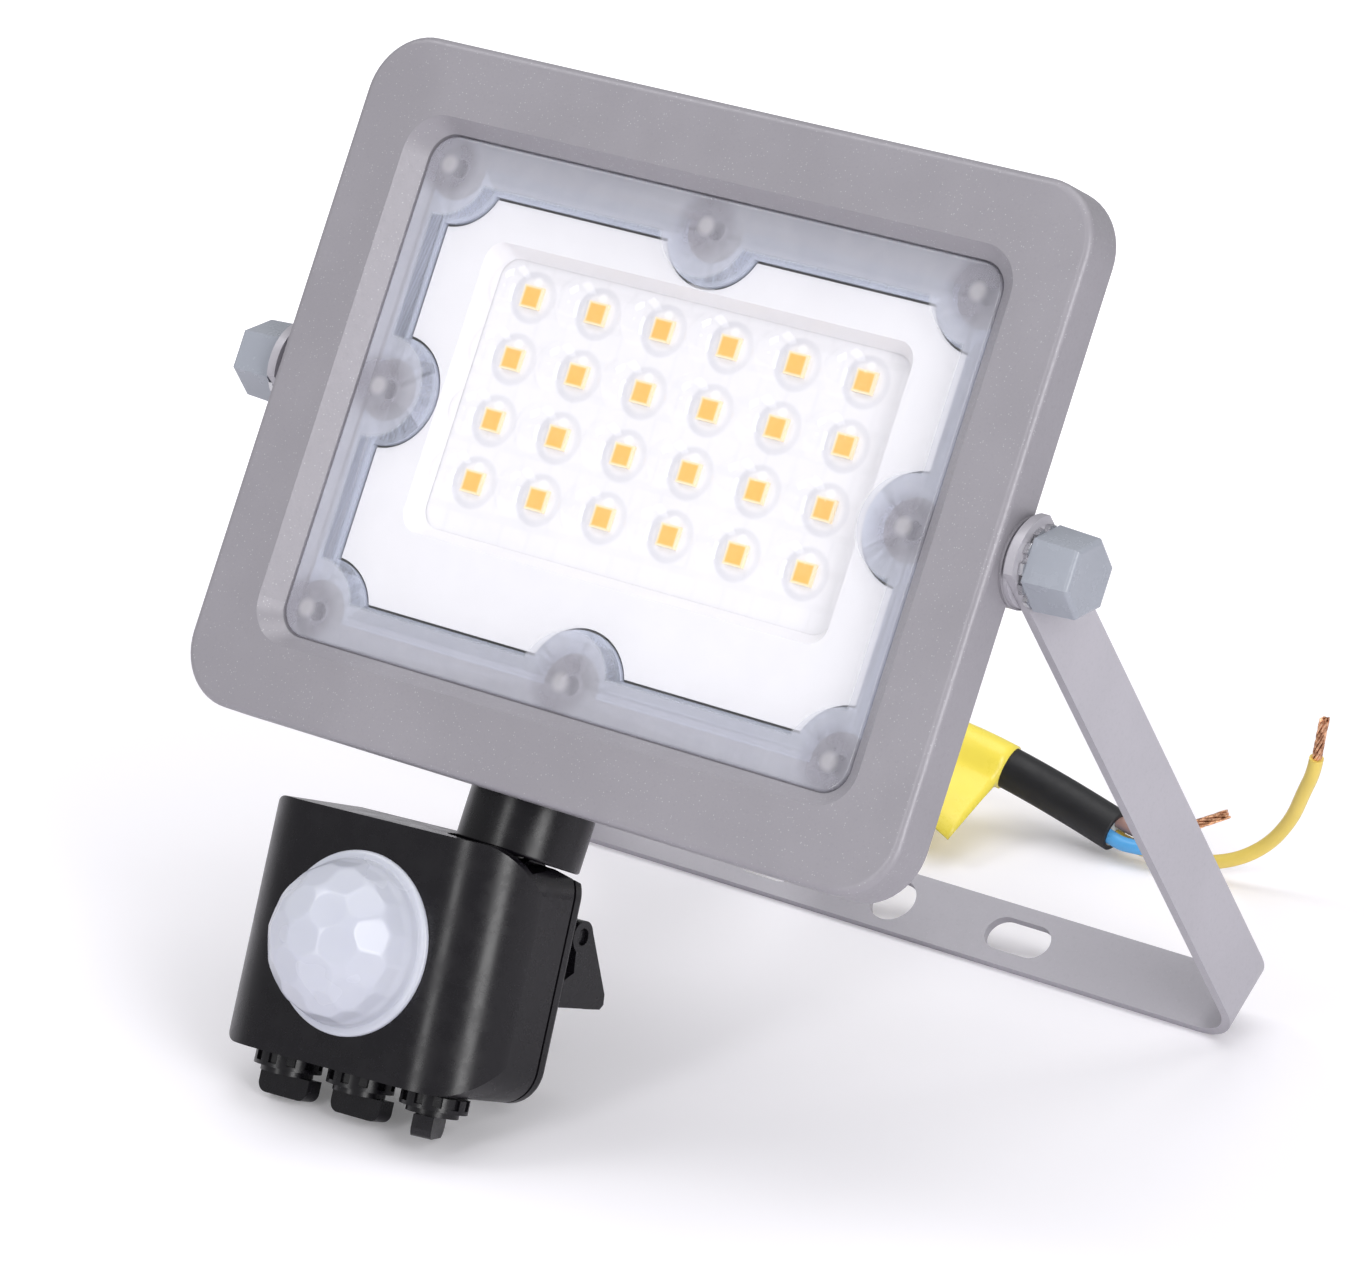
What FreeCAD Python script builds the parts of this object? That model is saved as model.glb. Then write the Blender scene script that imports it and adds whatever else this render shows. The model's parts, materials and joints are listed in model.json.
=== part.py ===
import FreeCAD, Part
import math
import os
from FreeCAD import Placement, Rotation, Vector

# Motion sensor floodlight on a U-shaped bracket, in millimetres.
# Row frame: +X along the lamp's width, +Y to the rear, +Z up, floor at z = 0.
# Three parts of the light have frames of their own, all with x along the width:
# lamp frame: centre of the lamp's front face, y up the face, z out of the face
# sensor frame: middle of the sensor's tilt pin, y up the sensor, z out of its face
# bracket frame: middle of the pivot axis, y up the arms, z towards the front

# Pose in which the light is set down
LAMP_LEAN = 29.5
SENSOR_NOD = 5.5
SENSOR_SLACK = 2.95

# Lamp housing
LAMP_W = 134.0
LAMP_H = 108.0
LAMP_R = 10.0
FLANGE_D = 7.5
RIM_ROUND = 1.2
BACK_STEP = 6.0
BACK_W = LAMP_W - 2 * BACK_STEP
BACK_H = LAMP_H - 2 * BACK_STEP
BACK_R = 9.0
TAIL_W = BACK_W - 30.0
TAIL_H = BACK_H - 18.0
TAIL_R = 6.0
FIN_TIP = 24.0
FIN_ROOT = 16.0
FIN_PITCH = 7.0
FIN_T = 2.2

# Window, gasket and what lies under them
FRAME_W = 13.8
PLATE_W = LAMP_W - 2 * FRAME_W
PLATE_H = LAMP_H - 2 * FRAME_W
PLATE_R = 4.5
BEVEL_W = PLATE_W + 6.6
BEVEL_H = PLATE_H + 4.6
BEVEL_R = 6.5
PLATE_TOP = 2.8
PLATE_T = 3.0
PLATE_CLEAR = 0.25
GASKET_T = 1.2
FIELD_W = PLATE_W - 7.4
FIELD_H = PLATE_H - 13.4
PEG_INSET_X = 4.0
PEG_INSET_Y = 4.5
BOSS_X = PLATE_W / 2 - PEG_INSET_X
BOSS_Y = PLATE_H / 2 - PEG_INSET_Y
SCALLOP_R = 8.0
CAVITY_FLOOR = 11.2
TRAY_T = 0.8
TRAY_GAP = 0.15
WELL_GAP = 0.4
WELL_LOW = -20.0
WELL_TOP = BOSS_Y - SCALLOP_R - TRAY_T - WELL_GAP
WELL_W = 2 * (BOSS_X - SCALLOP_R - TRAY_T - WELL_GAP)
WELL_H = WELL_TOP - WELL_LOW
WELL_Y = (WELL_TOP + WELL_LOW) / 2
WELL_R = 4.0
WELL_DRAFT = 1.6
LENS_COLS = 6
LENS_ROWS = 4
LENS_PITCH_X = (WELL_W - 17.6) / (LENS_COLS - 1)
LENS_PITCH_Y = (WELL_H - 16.9) / (LENS_ROWS - 1)
LENS_FIELD_Y = WELL_Y + 1.55
LENS_R = 4.0
LENS_RISE = 1.5
BOARD_W = FIELD_W - 7.0
BOARD_H = FIELD_H - 7.0
BOARD_T = 1.6
BOARD_SCREW_R = 1.2
BOARD_SCREW_HEAD_R = 2.2
BOARD_SCREW_HEAD_T = 1.0
BOARD_SCREW_IN = 3.0
BOARD_SCREW_X = WELL_W / 2 + TRAY_T + BOARD_SCREW_HEAD_R + 0.2
BOARD_SCREW_Y = SCALLOP_R + 6.0
CHIP = 3.5
CHIP_T = 0.7
PEG_R = 1.5
PEG_HOLE_R = 2.2
PEG_L = 3.0
GASKET_BAND = 3.0
FIT = 0.05
SEAT_GAP = 0.05

# Pivots on the lamp's sides
PIVOT_DEPTH = 9.0
EAR_R = 7.0
EAR_STAND = 0.5
EAR_OUT = LAMP_W / 2 + EAR_STAND
WASHER_T = 0.75
WASHER_R = 6.6
BOLT_R = 3.0
BOLT_REACH = 13.0
BOLT_HEAD_AF = 9.6
BOLT_HEAD_T = 4.0
TOOTH_T = 0.8
TOOTH_R = 6.3
TOOTH_COUNT = 12
CAP_AF = 11.3
CAP_T = 7.6
CAP_WALL_GAP = 0.25
CAP_DRAFT = 0.35

# Bracket
STRIP_T = 1.5
STRIP_W = 11.4
ARM_L = 113.8
ARM_END_R = 7.6
BEND_R = 8.5
HOLE_R = 4.0
SLOT_X = 24.5
SLOT_L = 12.0
SLOT_W = 6.2

# Junction box, cable gland and sensor neck on the lamp
NECK_X = -8.7
BOX_W = 50.0
BOX_X = -12.0
BOX_H = 38.0
BOX_FOOT = -BACK_H / 2 - 3.0
BOX_TOP = BOX_FOOT + BOX_H
BOX_D = 29.5
BOX_WALL = 3.0
BOX_ROOF = BOX_TOP - 2.5
NUT_T = 4.0
NUT_R = 7.4
NUT_ROOM = 0.7
NECK_DEPTH = BOX_D - BOX_WALL - NUT_R - NUT_ROOM
NECK_BOSS_R = 10.4
NECK_BOSS_L = 2.0
NECK_BOSS_FOOT = BOX_FOOT - NECK_BOSS_L
SPIGOT_R = 6.0
NECK_R = 9.8
NECK_SEAL_T = 0.8
NECK_L = 9.1
NECK_END = NECK_L - NECK_BOSS_FOOT
NECK_GAP = 0.3
PIN_DROP = 4.8
STEM_R = 3.4
EYE_R = 5.2
EYE_W = 8.0
EYE_SLACK = 0.22
TILT_BACK = -15.0
TILT_ON = 8.0
WIRE_R = 2.4
GLAND_X = -27.0
GLAND_Y = BOX_FOOT + 23.0
GLAND_AF = 15.0
GLAND_BASE_T = 4.0
GLAND_NUT_R = 7.4
GLAND_NUT_T = 8.0
GLAND_SEAL_T = 1.6
GLAND_STUD_R = 5.4

# Sensor head
HEAD_W = 49.5
HEAD_H = 38.3
HEAD_R = 6.0
HEAD_FACE = 14.8
HEAD_TOP = 6.0
HEAD_SIDE = 9.5
SHELL_D = 19.0
SHELL_BEND = 11.0
SHELL_WALL = 1.8
SEAM_T = 0.5
SEAM_INSET = 0.8
COVER_T = 2.2
COVER_ROUND = 1.0
DOME_Y = 0.0
DOME_R = 12.9
DOME_WALL = 0.9
DOME_FLANGE_R = 14.1
DOME_FLANGE_T = 0.8
DOME_FIT = 0.1
PIN_R = 2.0
LUG_T = 2.6
LUG_R = 3.9
LUG_GAP = 0.5
KNOB_SHIFT = 0.5
KNOB_DEPTH = 9.0
THIRD_KNOB_TURN = -66.0
KNOB_GAP = 0.3
DIAL_HALF = 3.0
DIAL_GAP = 0.35
COLLAR_R = 5.3
COLLAR_T = 2.2
COLLAR_RIBS = 11
RING_R = 4.1
RING_T = 0.9
BAR_L = 9.4
BAR_W = 3.2
BAR_T = 3.4
BAR_SHIFT = 1.0
KNOB_SHAFT_R = 2.0
KNOB_SHAFT_IN = 2.0
COVER_SCREW_INSET = 4.2
POST_R = 2.6
KNOB_PITCH = HEAD_W / 2 - COVER_SCREW_INSET - POST_R - DIAL_HALF - KNOB_SHIFT - DIAL_GAP
COVER_SCREW_DROP = 15.2
COVER_SCREW_R = 1.1
COVER_HEAD_R = 2.2

# Tilt lock at the sensor's back
LOCK_W = 17.4
LOCK_Y = -5.3
LOCK_OUT = 3.1
LOCK_PIN_R = 1.3
LOCK_HUB_R = 2.5
EAR_PLATE_T = 1.6
EAR_PLATE_X = 5.3
LEVER_GAP = 0.4


def rounded_wire(width, height, radius, z, cx=0.0, cy=0.0):
    """Rectangle with round corners, in a plane across z."""
    hx = width / 2
    hy = height / 2
    k = radius * (1 - math.sqrt(0.5))
    edges = []
    corners = [(1, 1), (-1, 1), (-1, -1), (1, -1)]
    ends = []
    for sx, sy in corners:
        along = Vector(cx + sx * (hx - radius), cy + sy * hy, z)
        down = Vector(cx + sx * hx, cy + sy * (hy - radius), z)
        mid = Vector(cx + sx * (hx - k), cy + sy * (hy - k), z)
        first, last = (down, along) if sx * sy > 0 else (along, down)
        ends.append((first, mid, last))
    for i, (first, mid, last) in enumerate(ends):
        edges.append(Part.Arc(first, mid, last).toShape())
        edges.append(Part.LineSegment(last, ends[(i + 1) % 4][0]).toShape())
    return Part.Wire(edges)


def slab(width, height, radius, z_low, z_high, cx=0.0, cy=0.0):
    """Plate with round corners between two heights."""
    face = Part.Face(rounded_wire(width, height, radius, z_low, cx, cy))
    return face.extrude(Vector(0, 0, z_high - z_low))


def taper(low, high, cx=0.0, cy=0.0):
    """Tapered block between two rounded rectangles, each (width, height, radius, z)."""
    wires = [rounded_wire(w, h, r, z, cx, cy) for w, h, r, z in (low, high)]
    return Part.makeLoft(wires, True, True)


def block(x0, x1, y0, y1, z0, z1):
    return Part.makeBox(x1 - x0, y1 - y0, z1 - z0, Vector(x0, y0, z0))


def rod(radius, start, along, length):
    return Part.makeCylinder(radius, length, Vector(*start), Vector(*along))


def hexagon_x(across_flats, x0, x1, y, z, end_scale=1.0):
    """Hexagonal bar along x, with two flats across z and a slightly smaller far end."""
    def ring(x, scale):
        r = across_flats / math.sqrt(3) * scale
        pts = []
        for i in range(7):
            a = math.radians(60 * i + 90)
            pts.append(Vector(x, y + r * math.sin(a), z + r * math.cos(a)))
        return Part.makePolygon(pts)
    return Part.makeLoft([ring(x0, 1.0), ring(x1, end_scale)], True, True)


def edges_at(shape, test):
    return [e for e in shape.Edges if all(test(v.Point) for v in e.Vertexes)]


def joined(shapes):
    return shapes[0].fuse(shapes[1:]).removeSplitter()


def mirrored(shape):
    return shape.mirror(Vector(0, 0, 0), Vector(1, 0, 0))


# Lamp

GASKET_TOP = -PLATE_TOP - PLATE_T
LEDGE = GASKET_TOP - GASKET_T
PEG_SPOTS = [(sx * BOSS_X, sy * BOSS_Y) for sx in (-1, 0, 1) for sy in (-1, 0, 1) if sx or sy]
BOARD_TOP = -CAVITY_FLOOR + BOARD_T
TRAY_TOP = LEDGE + GASKET_T / 2
PIN_Y = -NECK_END - PIN_DROP
POCKET_FOOT = -BACK_H / 2 + BOX_WALL + NUT_T
POCKET_TOP = -NECK_DEPTH + NUT_R + 0.5


def field(grow, z_low, z_high):
    """The window's clear field: a rectangle with a round bite at every peg."""
    body = slab(FIELD_W + 2 * grow, FIELD_H + 2 * grow, 1.5, z_low, z_high)
    bites = [rod(SCALLOP_R - grow, (x, y, z_low), (0, 0, 1), z_high - z_low) for x, y in PEG_SPOTS]
    return body.cut(bites)


def lamp_ear(side):
    """Pivot boss standing out of the lamp's side."""
    start = LAMP_W / 2 - BOLT_REACH
    return rod(EAR_R, (side * start, 0, -PIVOT_DEPTH), (side, 0, 0), EAR_OUT - start)


def fin_grooves():
    """Slots between the cooling fins, which run up the lamp's back."""
    count = int(TAIL_W / 2 / FIN_PITCH)
    width = FIN_PITCH - FIN_T
    reach = BACK_H / 2
    grooves = []
    for i in range(-count, count):
        x = (i + 0.5) * FIN_PITCH
        grooves.append(block(x - width / 2, x + width / 2, -reach, reach, -FIN_TIP - 1, -FIN_ROOT))
    return grooves


def housing():
    """Die-cast lamp body with its frame, fins, pivot bosses and junction box."""
    flange = slab(LAMP_W, LAMP_H, LAMP_R, -FLANGE_D, 0)
    rims = [e for e in flange.Edges if abs(e.BoundBox.ZMin) < 1e-6 and abs(e.BoundBox.ZMax) < 1e-6]
    flange = flange.makeFillet(RIM_ROUND, rims)
    low = (TAIL_W, TAIL_H, TAIL_R, -FIN_TIP)
    high = (BACK_W, BACK_H, BACK_R, -FLANGE_D)
    back = taper(low, high).cut(fin_grooves())
    box = slab(BOX_W, BOX_TOP - BOX_FOOT, 4.0, -BOX_D, -FLANGE_D, BOX_X, (BOX_TOP + BOX_FOOT) / 2)
    boss = rod(NECK_BOSS_R, (NECK_X, NECK_BOSS_FOOT, -NECK_DEPTH), (0, 1, 0), BOX_FOOT - NECK_BOSS_FOOT + 6)
    body = joined([flange, back, box, boss, lamp_ear(1), lamp_ear(-1)])
    bevel = taper((PLATE_W + 2 * PLATE_CLEAR, PLATE_H + 2 * PLATE_CLEAR, PLATE_R, -PLATE_TOP),
                  (BEVEL_W, BEVEL_H, BEVEL_R, 0))
    seat = slab(PLATE_W + 2 * PLATE_CLEAR, PLATE_H + 2 * PLATE_CLEAR, PLATE_R, GASKET_TOP, -PLATE_TOP)
    groove = field(GASKET_BAND + 0.1, LEDGE, GASKET_TOP)
    cuts = [bevel, seat, groove, field(0, -CAVITY_FLOOR, LEDGE)]
    pocket_y = (BOX_ROOF + POCKET_FOOT) / 2
    cuts.append(slab(BOX_W - 2 * BOX_WALL, BOX_ROOF - POCKET_FOOT, 2.0, -BOX_D + BOX_WALL,
                     POCKET_TOP, BOX_X, pocket_y))
    cuts.append(rod(SPIGOT_R + FIT, (NECK_X, NECK_BOSS_FOOT - 1, -NECK_DEPTH), (0, 1, 0),
                    POCKET_FOOT - NECK_BOSS_FOOT + 3))
    cuts.append(rod(GLAND_STUD_R + FIT, (GLAND_X, GLAND_Y, -BOX_D - 1), (0, 0, 1), 6))
    cuts += [rod(PEG_HOLE_R, (x, y, GASKET_TOP - PEG_L - 0.4), (0, 0, 1), 5) for x, y in PEG_SPOTS]
    cuts += [rod(BOARD_SCREW_R + FIT, (x, y, -CAVITY_FLOOR - BOARD_SCREW_IN - 1), (0, 0, 1),
                 BOARD_SCREW_IN + 3)
             for x, y in BOARD_SCREWS]
    for side in (-1, 1):
        start = LAMP_W / 2 - BOLT_REACH + 2
        cuts.append(rod(BOLT_R + FIT, (side * start, 0, -PIVOT_DEPTH), (side, 0, 0), BOLT_REACH + 4))
    return body.cut(cuts)


def lens_spots():
    spots = []
    for row in range(LENS_ROWS):
        for col in range(LENS_COLS):
            x = (col - (LENS_COLS - 1) / 2) * LENS_PITCH_X
            y = LENS_FIELD_Y + (row - (LENS_ROWS - 1) / 2) * LENS_PITCH_Y
            spots.append((x, y))
    return spots


def cap_of_sphere(radius, rise, x, y, z):
    """Dome of the given foot radius and rise, standing on the plane at z."""
    ball_r = (radius ** 2 + rise ** 2) / (2 * rise)
    ball = Part.makeSphere(ball_r, Vector(x, y, z + rise - ball_r))
    keep = rod(radius, (x, y, z - 0.4), (0, 0, 1), rise + 1)
    return ball.common(keep)


def lens_plate():
    """Moulded clear window with a low dome over every chip and eight pegs at its back."""
    plate = slab(PLATE_W, PLATE_H, PLATE_R, GASKET_TOP, -PLATE_TOP)
    top = edges_at(plate, lambda p: abs(p.z + PLATE_TOP) < 1e-6)
    plate = plate.makeFillet(0.5, top)
    domes = [cap_of_sphere(LENS_R, LENS_RISE, x, y, -PLATE_TOP) for x, y in lens_spots()]
    pegs = [rod(PEG_R, (x, y, GASKET_TOP - PEG_L), (0, 0, 1), PEG_L + 1) for x, y in PEG_SPOTS]
    return plate.fuse(domes + pegs)


def lens_gasket():
    """Seal in its groove round the window's clear field, bent round every peg."""
    return field(GASKET_BAND, LEDGE, GASKET_TOP).cut(field(-0.6, LEDGE - 1, GASKET_TOP + 1))


def reflector_tray():
    """White cover over the board, with a sloped well round the chips."""
    sheet = field(-1.0, TRAY_TOP - TRAY_T, TRAY_TOP)
    depth = TRAY_TOP - TRAY_T - BOARD_TOP - TRAY_GAP
    foot = BOARD_TOP + TRAY_GAP
    outer = taper((WELL_W - 2 * WELL_DRAFT + 2 * TRAY_T, WELL_H - 2 * WELL_DRAFT + 2 * TRAY_T, WELL_R, foot),
                  (WELL_W + 2 * TRAY_T, WELL_H + 2 * TRAY_T, WELL_R, foot + depth), 0, WELL_Y)
    inner = taper((WELL_W - 2 * WELL_DRAFT, WELL_H - 2 * WELL_DRAFT, WELL_R - TRAY_T, foot),
                  (WELL_W, WELL_H, WELL_R - TRAY_T, TRAY_TOP), 0, WELL_Y)
    return sheet.fuse(outer).cut(inner)


BOARD_SCREWS = [(sx * BOARD_SCREW_X, sy * BOARD_SCREW_Y) for sx in (-1, 1) for sy in (-1, 1)]


def led_board():
    board = slab(BOARD_W, BOARD_H, 3.0, -CAVITY_FLOOR, BOARD_TOP)
    bites = [rod(SCALLOP_R + 0.6, (x, y, -CAVITY_FLOOR - 1), (0, 0, 1), 4) for x, y in PEG_SPOTS]
    holes = [rod(BOARD_SCREW_R + 0.2, (x, y, -CAVITY_FLOOR - 1), (0, 0, 1), 4) for x, y in BOARD_SCREWS]
    return board.cut(bites + holes)


def led_chips():
    half = CHIP / 2
    return Part.makeCompound([block(x - half, x + half, y - half, y + half, BOARD_TOP, BOARD_TOP + CHIP_T)
                              for x, y in lens_spots()])


DRIVER_Y = -BOARD_H / 2 + 4.0
DRIVER_PARTS = [(-24.0, 6.0, 4.6), (-12.0, 4.4, 4.4), (14.0, 7.0, 4.0), (26.0, 4.0, 4.0)]
DRIVER_T = 1.5


def driver_chips():
    """Rectifier and driver circuits in the board's lower margin."""
    y = DRIVER_Y
    top = BOARD_TOP + DRIVER_T
    return Part.makeCompound([block(x - w / 2, x + w / 2, y - h / 2, y + h / 2, BOARD_TOP, top)
                              for x, w, h in DRIVER_PARTS])


def pan_screw(x, y, z_seat, radius, head_r, head_t, length):
    """Screw along z with its head above the seat and a round driver recess."""
    head = rod(head_r, (x, y, z_seat), (0, 0, 1), head_t)
    rim = edges_at(head, lambda p: abs(p.z - z_seat - head_t) < 1e-6)
    head = head.makeFillet(head_t * 0.45, rim)
    shank = rod(radius, (x, y, z_seat - length), (0, 0, 1), length)
    recess = rod(head_r * 0.42, (x, y, z_seat + head_t * 0.45), (0, 0, 1), head_t)
    return head.fuse(shank).cut(recess)


def board_screws():
    return Part.makeCompound([pan_screw(x, y, BOARD_TOP, BOARD_SCREW_R, BOARD_SCREW_HEAD_R,
                                        BOARD_SCREW_HEAD_T, BOARD_T + BOARD_SCREW_IN)
                              for x, y in BOARD_SCREWS])


ARM_IN = EAR_OUT + WASHER_T + SEAT_GAP
ARM_OUT = ARM_IN + STRIP_T
TOOTH_IN = ARM_OUT + SEAT_GAP
HEAD_IN = TOOTH_IN + TOOTH_T


def disc_x(radius, bore, x0, x1):
    whole = rod(radius, (x0, 0, -PIVOT_DEPTH), (1, 0, 0), x1 - x0)
    return whole.cut(rod(bore, (x0 - 1, 0, -PIVOT_DEPTH), (1, 0, 0), x1 - x0 + 2))


def both_sides(shape):
    return Part.makeCompound([shape, mirrored(shape)])


def pivot_bolts():
    shank = rod(BOLT_R, (LAMP_W / 2 - BOLT_REACH + 3, 0, -PIVOT_DEPTH), (1, 0, 0),
                HEAD_IN - LAMP_W / 2 + BOLT_REACH - 3)
    head = hexagon_x(BOLT_HEAD_AF, HEAD_IN, HEAD_IN + BOLT_HEAD_T, 0, -PIVOT_DEPTH)
    return both_sides(shank.fuse(head))


def pivot_washers():
    return both_sides(disc_x(WASHER_R, BOLT_R + 0.2, EAR_OUT, EAR_OUT + WASHER_T))


def tooth_washers():
    """Lock washers with teeth round the rim, under the bolt heads."""
    ring = disc_x(TOOTH_R, BOLT_R + 0.2, TOOTH_IN, HEAD_IN)
    notches = []
    for i in range(TOOTH_COUNT):
        a = 2 * math.pi * i / TOOTH_COUNT
        y = TOOTH_R * math.sin(a)
        z = -PIVOT_DEPTH + TOOTH_R * math.cos(a)
        notches.append(rod(0.8, (TOOTH_IN - 1, y, z), (1, 0, 0), TOOTH_T + 2))
    return both_sides(ring.cut(notches))


def bolt_caps():
    """Hexagonal plastic caps pushed over the bolt heads."""
    end_scale = 1 - 2 * CAP_DRAFT / CAP_AF
    outer = hexagon_x(CAP_AF, HEAD_IN, HEAD_IN + CAP_T, 0, -PIVOT_DEPTH, end_scale)
    outer = outer.makeFillet(0.7, edges_at(outer, lambda p: p.x > HEAD_IN + CAP_T - 1e-3))
    socket = hexagon_x(BOLT_HEAD_AF + 2 * CAP_WALL_GAP, HEAD_IN - 1, HEAD_IN + BOLT_HEAD_T + CAP_WALL_GAP,
                       0, -PIVOT_DEPTH)
    return both_sides(outer.cut(socket))


# Cable gland on the junction box

def gland_base():
    across = GLAND_AF / math.sqrt(3)
    turns = [math.radians(60 * i) for i in range(7)]
    pts = [Vector(GLAND_X + across * math.cos(t), GLAND_Y + across * math.sin(t), -BOX_D) for t in turns]
    flange = Part.Face(Part.makePolygon(pts)).extrude(Vector(0, 0, -GLAND_BASE_T))
    stud = rod(GLAND_STUD_R, (GLAND_X, GLAND_Y, -BOX_D), (0, 0, 1), BOX_WALL + 2)
    bore = rod(CABLE_R + FIT, (GLAND_X, GLAND_Y, -BOX_D - GLAND_BASE_T - 1), (0, 0, 1), 20)
    return flange.fuse(stud).cut(bore)


def gland_nut():
    """Ribbed clamping nut of the gland, rounded at its mouth."""
    start = -BOX_D - GLAND_BASE_T
    nut = rod(GLAND_NUT_R, (GLAND_X, GLAND_Y, start), (0, 0, -1), GLAND_NUT_T)
    mouth = edges_at(nut, lambda p: abs(p.z - start + GLAND_NUT_T) < 1e-6)
    nut = nut.makeFillet(2.2, mouth)
    ribs = []
    for i in range(10):
        a = math.radians(36 * i)
        x = GLAND_X + GLAND_NUT_R * math.cos(a)
        y = GLAND_Y + GLAND_NUT_R * math.sin(a)
        ribs.append(rod(0.8, (x, y, start + 1), (0, 0, -1), GLAND_NUT_T - 1.6))
    bore = rod(GLAND_SEAL_R, (GLAND_X, GLAND_Y, start + 1), (0, 0, -1), GLAND_NUT_T + 2)
    return nut.cut(ribs + [bore])


def gland_seal():
    start = -BOX_D - GLAND_BASE_T
    length = GLAND_NUT_T + GLAND_SEAL_T
    whole = rod(GLAND_SEAL_R, (GLAND_X, GLAND_Y, start), (0, 0, -1), length)
    return whole.cut(rod(CABLE_R + FIT, (GLAND_X, GLAND_Y, start + 1), (0, 0, -1), length + 2))


# Sensor neck, in the sensor frame before its nod: the pin is the origin

NECK_FOOT = PIN_DROP
NECK_HEAD = -PIN_Y + NECK_BOSS_FOOT - NECK_SEAL_T
NUT_FOOT = POCKET_FOOT + SEAT_GAP - PIN_Y
SPIGOT_TOP = NUT_FOOT + NUT_T + 0.5


def sensor_neck():
    """Neck that hangs from the lamp: collar, spigot, stem and hinge eye."""
    collar = rod(NECK_R, (0, NECK_FOOT, 0), (0, 1, 0), NECK_HEAD - NECK_FOOT)
    foot = edges_at(collar, lambda p: abs(p.y - NECK_FOOT) < 1e-6)
    collar = collar.makeFillet(0.5, foot)
    spigot = rod(SPIGOT_R, (0, NECK_HEAD, 0), (0, 1, 0), SPIGOT_TOP - NECK_HEAD)
    stem = rod(STEM_R, (0, 0, 0), (0, 1, 0), NECK_FOOT + 1)
    eye = rod(EYE_R, (-EYE_W / 2, 0, 0), (1, 0, 0), EYE_W)
    body = joined([collar, spigot, stem.common(block(-EYE_W / 2, EYE_W / 2, 0, NECK_FOOT + 2, -9, 9)), eye])
    wire = rod(WIRE_R, (0, EYE_R + 1, 0), (0, 1, 0), SPIGOT_TOP)
    pin = rod(PIN_R + EYE_SLACK, (-EYE_W, 0, 0), (1, 0, 0), 2 * EYE_W)
    return body.cut([wire, pin])


def neck_seal():
    whole = rod(NECK_R - 0.5, (0, NECK_HEAD, 0), (0, 1, 0), NECK_SEAL_T)
    return whole.cut(rod(SPIGOT_R + FIT, (0, NECK_HEAD - 1, 0), (0, 1, 0), NECK_SEAL_T + 2))


def neck_nut():
    start = NUT_FOOT
    whole = rod(NUT_R, (0, start, 0), (0, 1, 0), NUT_T)
    grips = []
    for i in range(6):
        a = math.radians(60 * i)
        grips.append(rod(1.2, (NUT_R * math.cos(a), start - 1, NUT_R * math.sin(a)), (0, 1, 0), NUT_T + 2))
    return whole.cut(grips + [rod(SPIGOT_R + FIT, (0, start - 1, 0), (0, 1, 0), NUT_T + 2)])


# Sensor head, in the sensor frame

HEAD_X = HEAD_SIDE - HEAD_W / 2
HEAD_Y = HEAD_TOP - HEAD_H / 2
SHELL_BACK = HEAD_FACE - SHELL_D
COVER_FRONT = SHELL_BACK - SEAM_T
COVER_BACK = COVER_FRONT - COVER_T
DOME_X = HEAD_X
DOME_CY = HEAD_Y + DOME_Y
FOOT_Y = HEAD_TOP - HEAD_H
KNOB_Z = HEAD_FACE - KNOB_DEPTH
SENSOR_BOARD_Z = HEAD_FACE - SHELL_WALL - 7.0
SB_W = 34.0
SB_H = 17.0
SB_EDGE = 2.5
SB_X = DOME_X - 1.5
SB_Y = DOME_CY - 2.0


def head_form(inset, z_back, z_front):
    """The head's outline from the front, with its front corners swept round in plan."""
    outline = slab(HEAD_W - 2 * inset, HEAD_H - 2 * inset, HEAD_R - inset, z_back, z_front, HEAD_X, HEAD_Y)
    half = HEAD_W / 2 - inset
    r = SHELL_BEND - inset
    k = r * (1 - math.sqrt(0.5))
    y = FOOT_Y - 1

    def at(x, z):
        return Vector(HEAD_X + x, y, z)

    plan = [Part.LineSegment(at(-half, z_back - 1), at(half, z_back - 1)).toShape(),
            Part.LineSegment(at(half, z_back - 1), at(half, z_front - r)).toShape(),
            Part.Arc(at(half, z_front - r), at(half - k, z_front - k), at(half - r, z_front)).toShape(),
            Part.LineSegment(at(half - r, z_front), at(-half + r, z_front)).toShape(),
            Part.Arc(at(-half + r, z_front), at(-half + k, z_front - k), at(-half, z_front - r)).toShape(),
            Part.LineSegment(at(-half, z_front - r), at(-half, z_back - 1)).toShape()]
    prism = Part.Face(Part.Wire(plan)).extrude(Vector(0, HEAD_H + 2, 0))
    return outline.common(prism)


def knob_x(index):
    return HEAD_X + KNOB_SHIFT + (index - 1) * KNOB_PITCH


def neck_relief():
    """Room in the head for the neck's end over the whole tilt, with a gabled floor."""
    low = PIN_DROP - NECK_GAP
    reach = NECK_R + NECK_GAP
    deep = reach + 3
    first = math.radians(SENSOR_NOD + TILT_BACK)
    last = math.radians(SENSOR_NOD + TILT_ON)
    middle = (first + last) / 2
    ridge = low / math.cos((last - first) / 2)
    sway = HEAD_TOP * math.sin((last - first) / 2)
    floor = [((low + deep * math.sin(first)) / math.cos(first), deep),
             (ridge * math.cos(middle), -ridge * math.sin(middle)),
             ((low - deep * math.sin(last)) / math.cos(last), -deep)]
    room = ear_profile(-reach, reach, floor + [(2 * HEAD_TOP, -deep), (2 * HEAD_TOP, deep)])
    plan = joined([rod(reach, (0, 0, -sway), (0, 1, 0), 3 * HEAD_TOP),
                   rod(reach, (0, 0, sway), (0, 1, 0), 3 * HEAD_TOP),
                   block(-reach, reach, 0, 3 * HEAD_TOP, -sway, sway)])
    room = room.common(plan)
    room.rotate(Vector(0, 0, 0), Vector(0, 0, 1), -SENSOR_SLACK)
    return room


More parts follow.
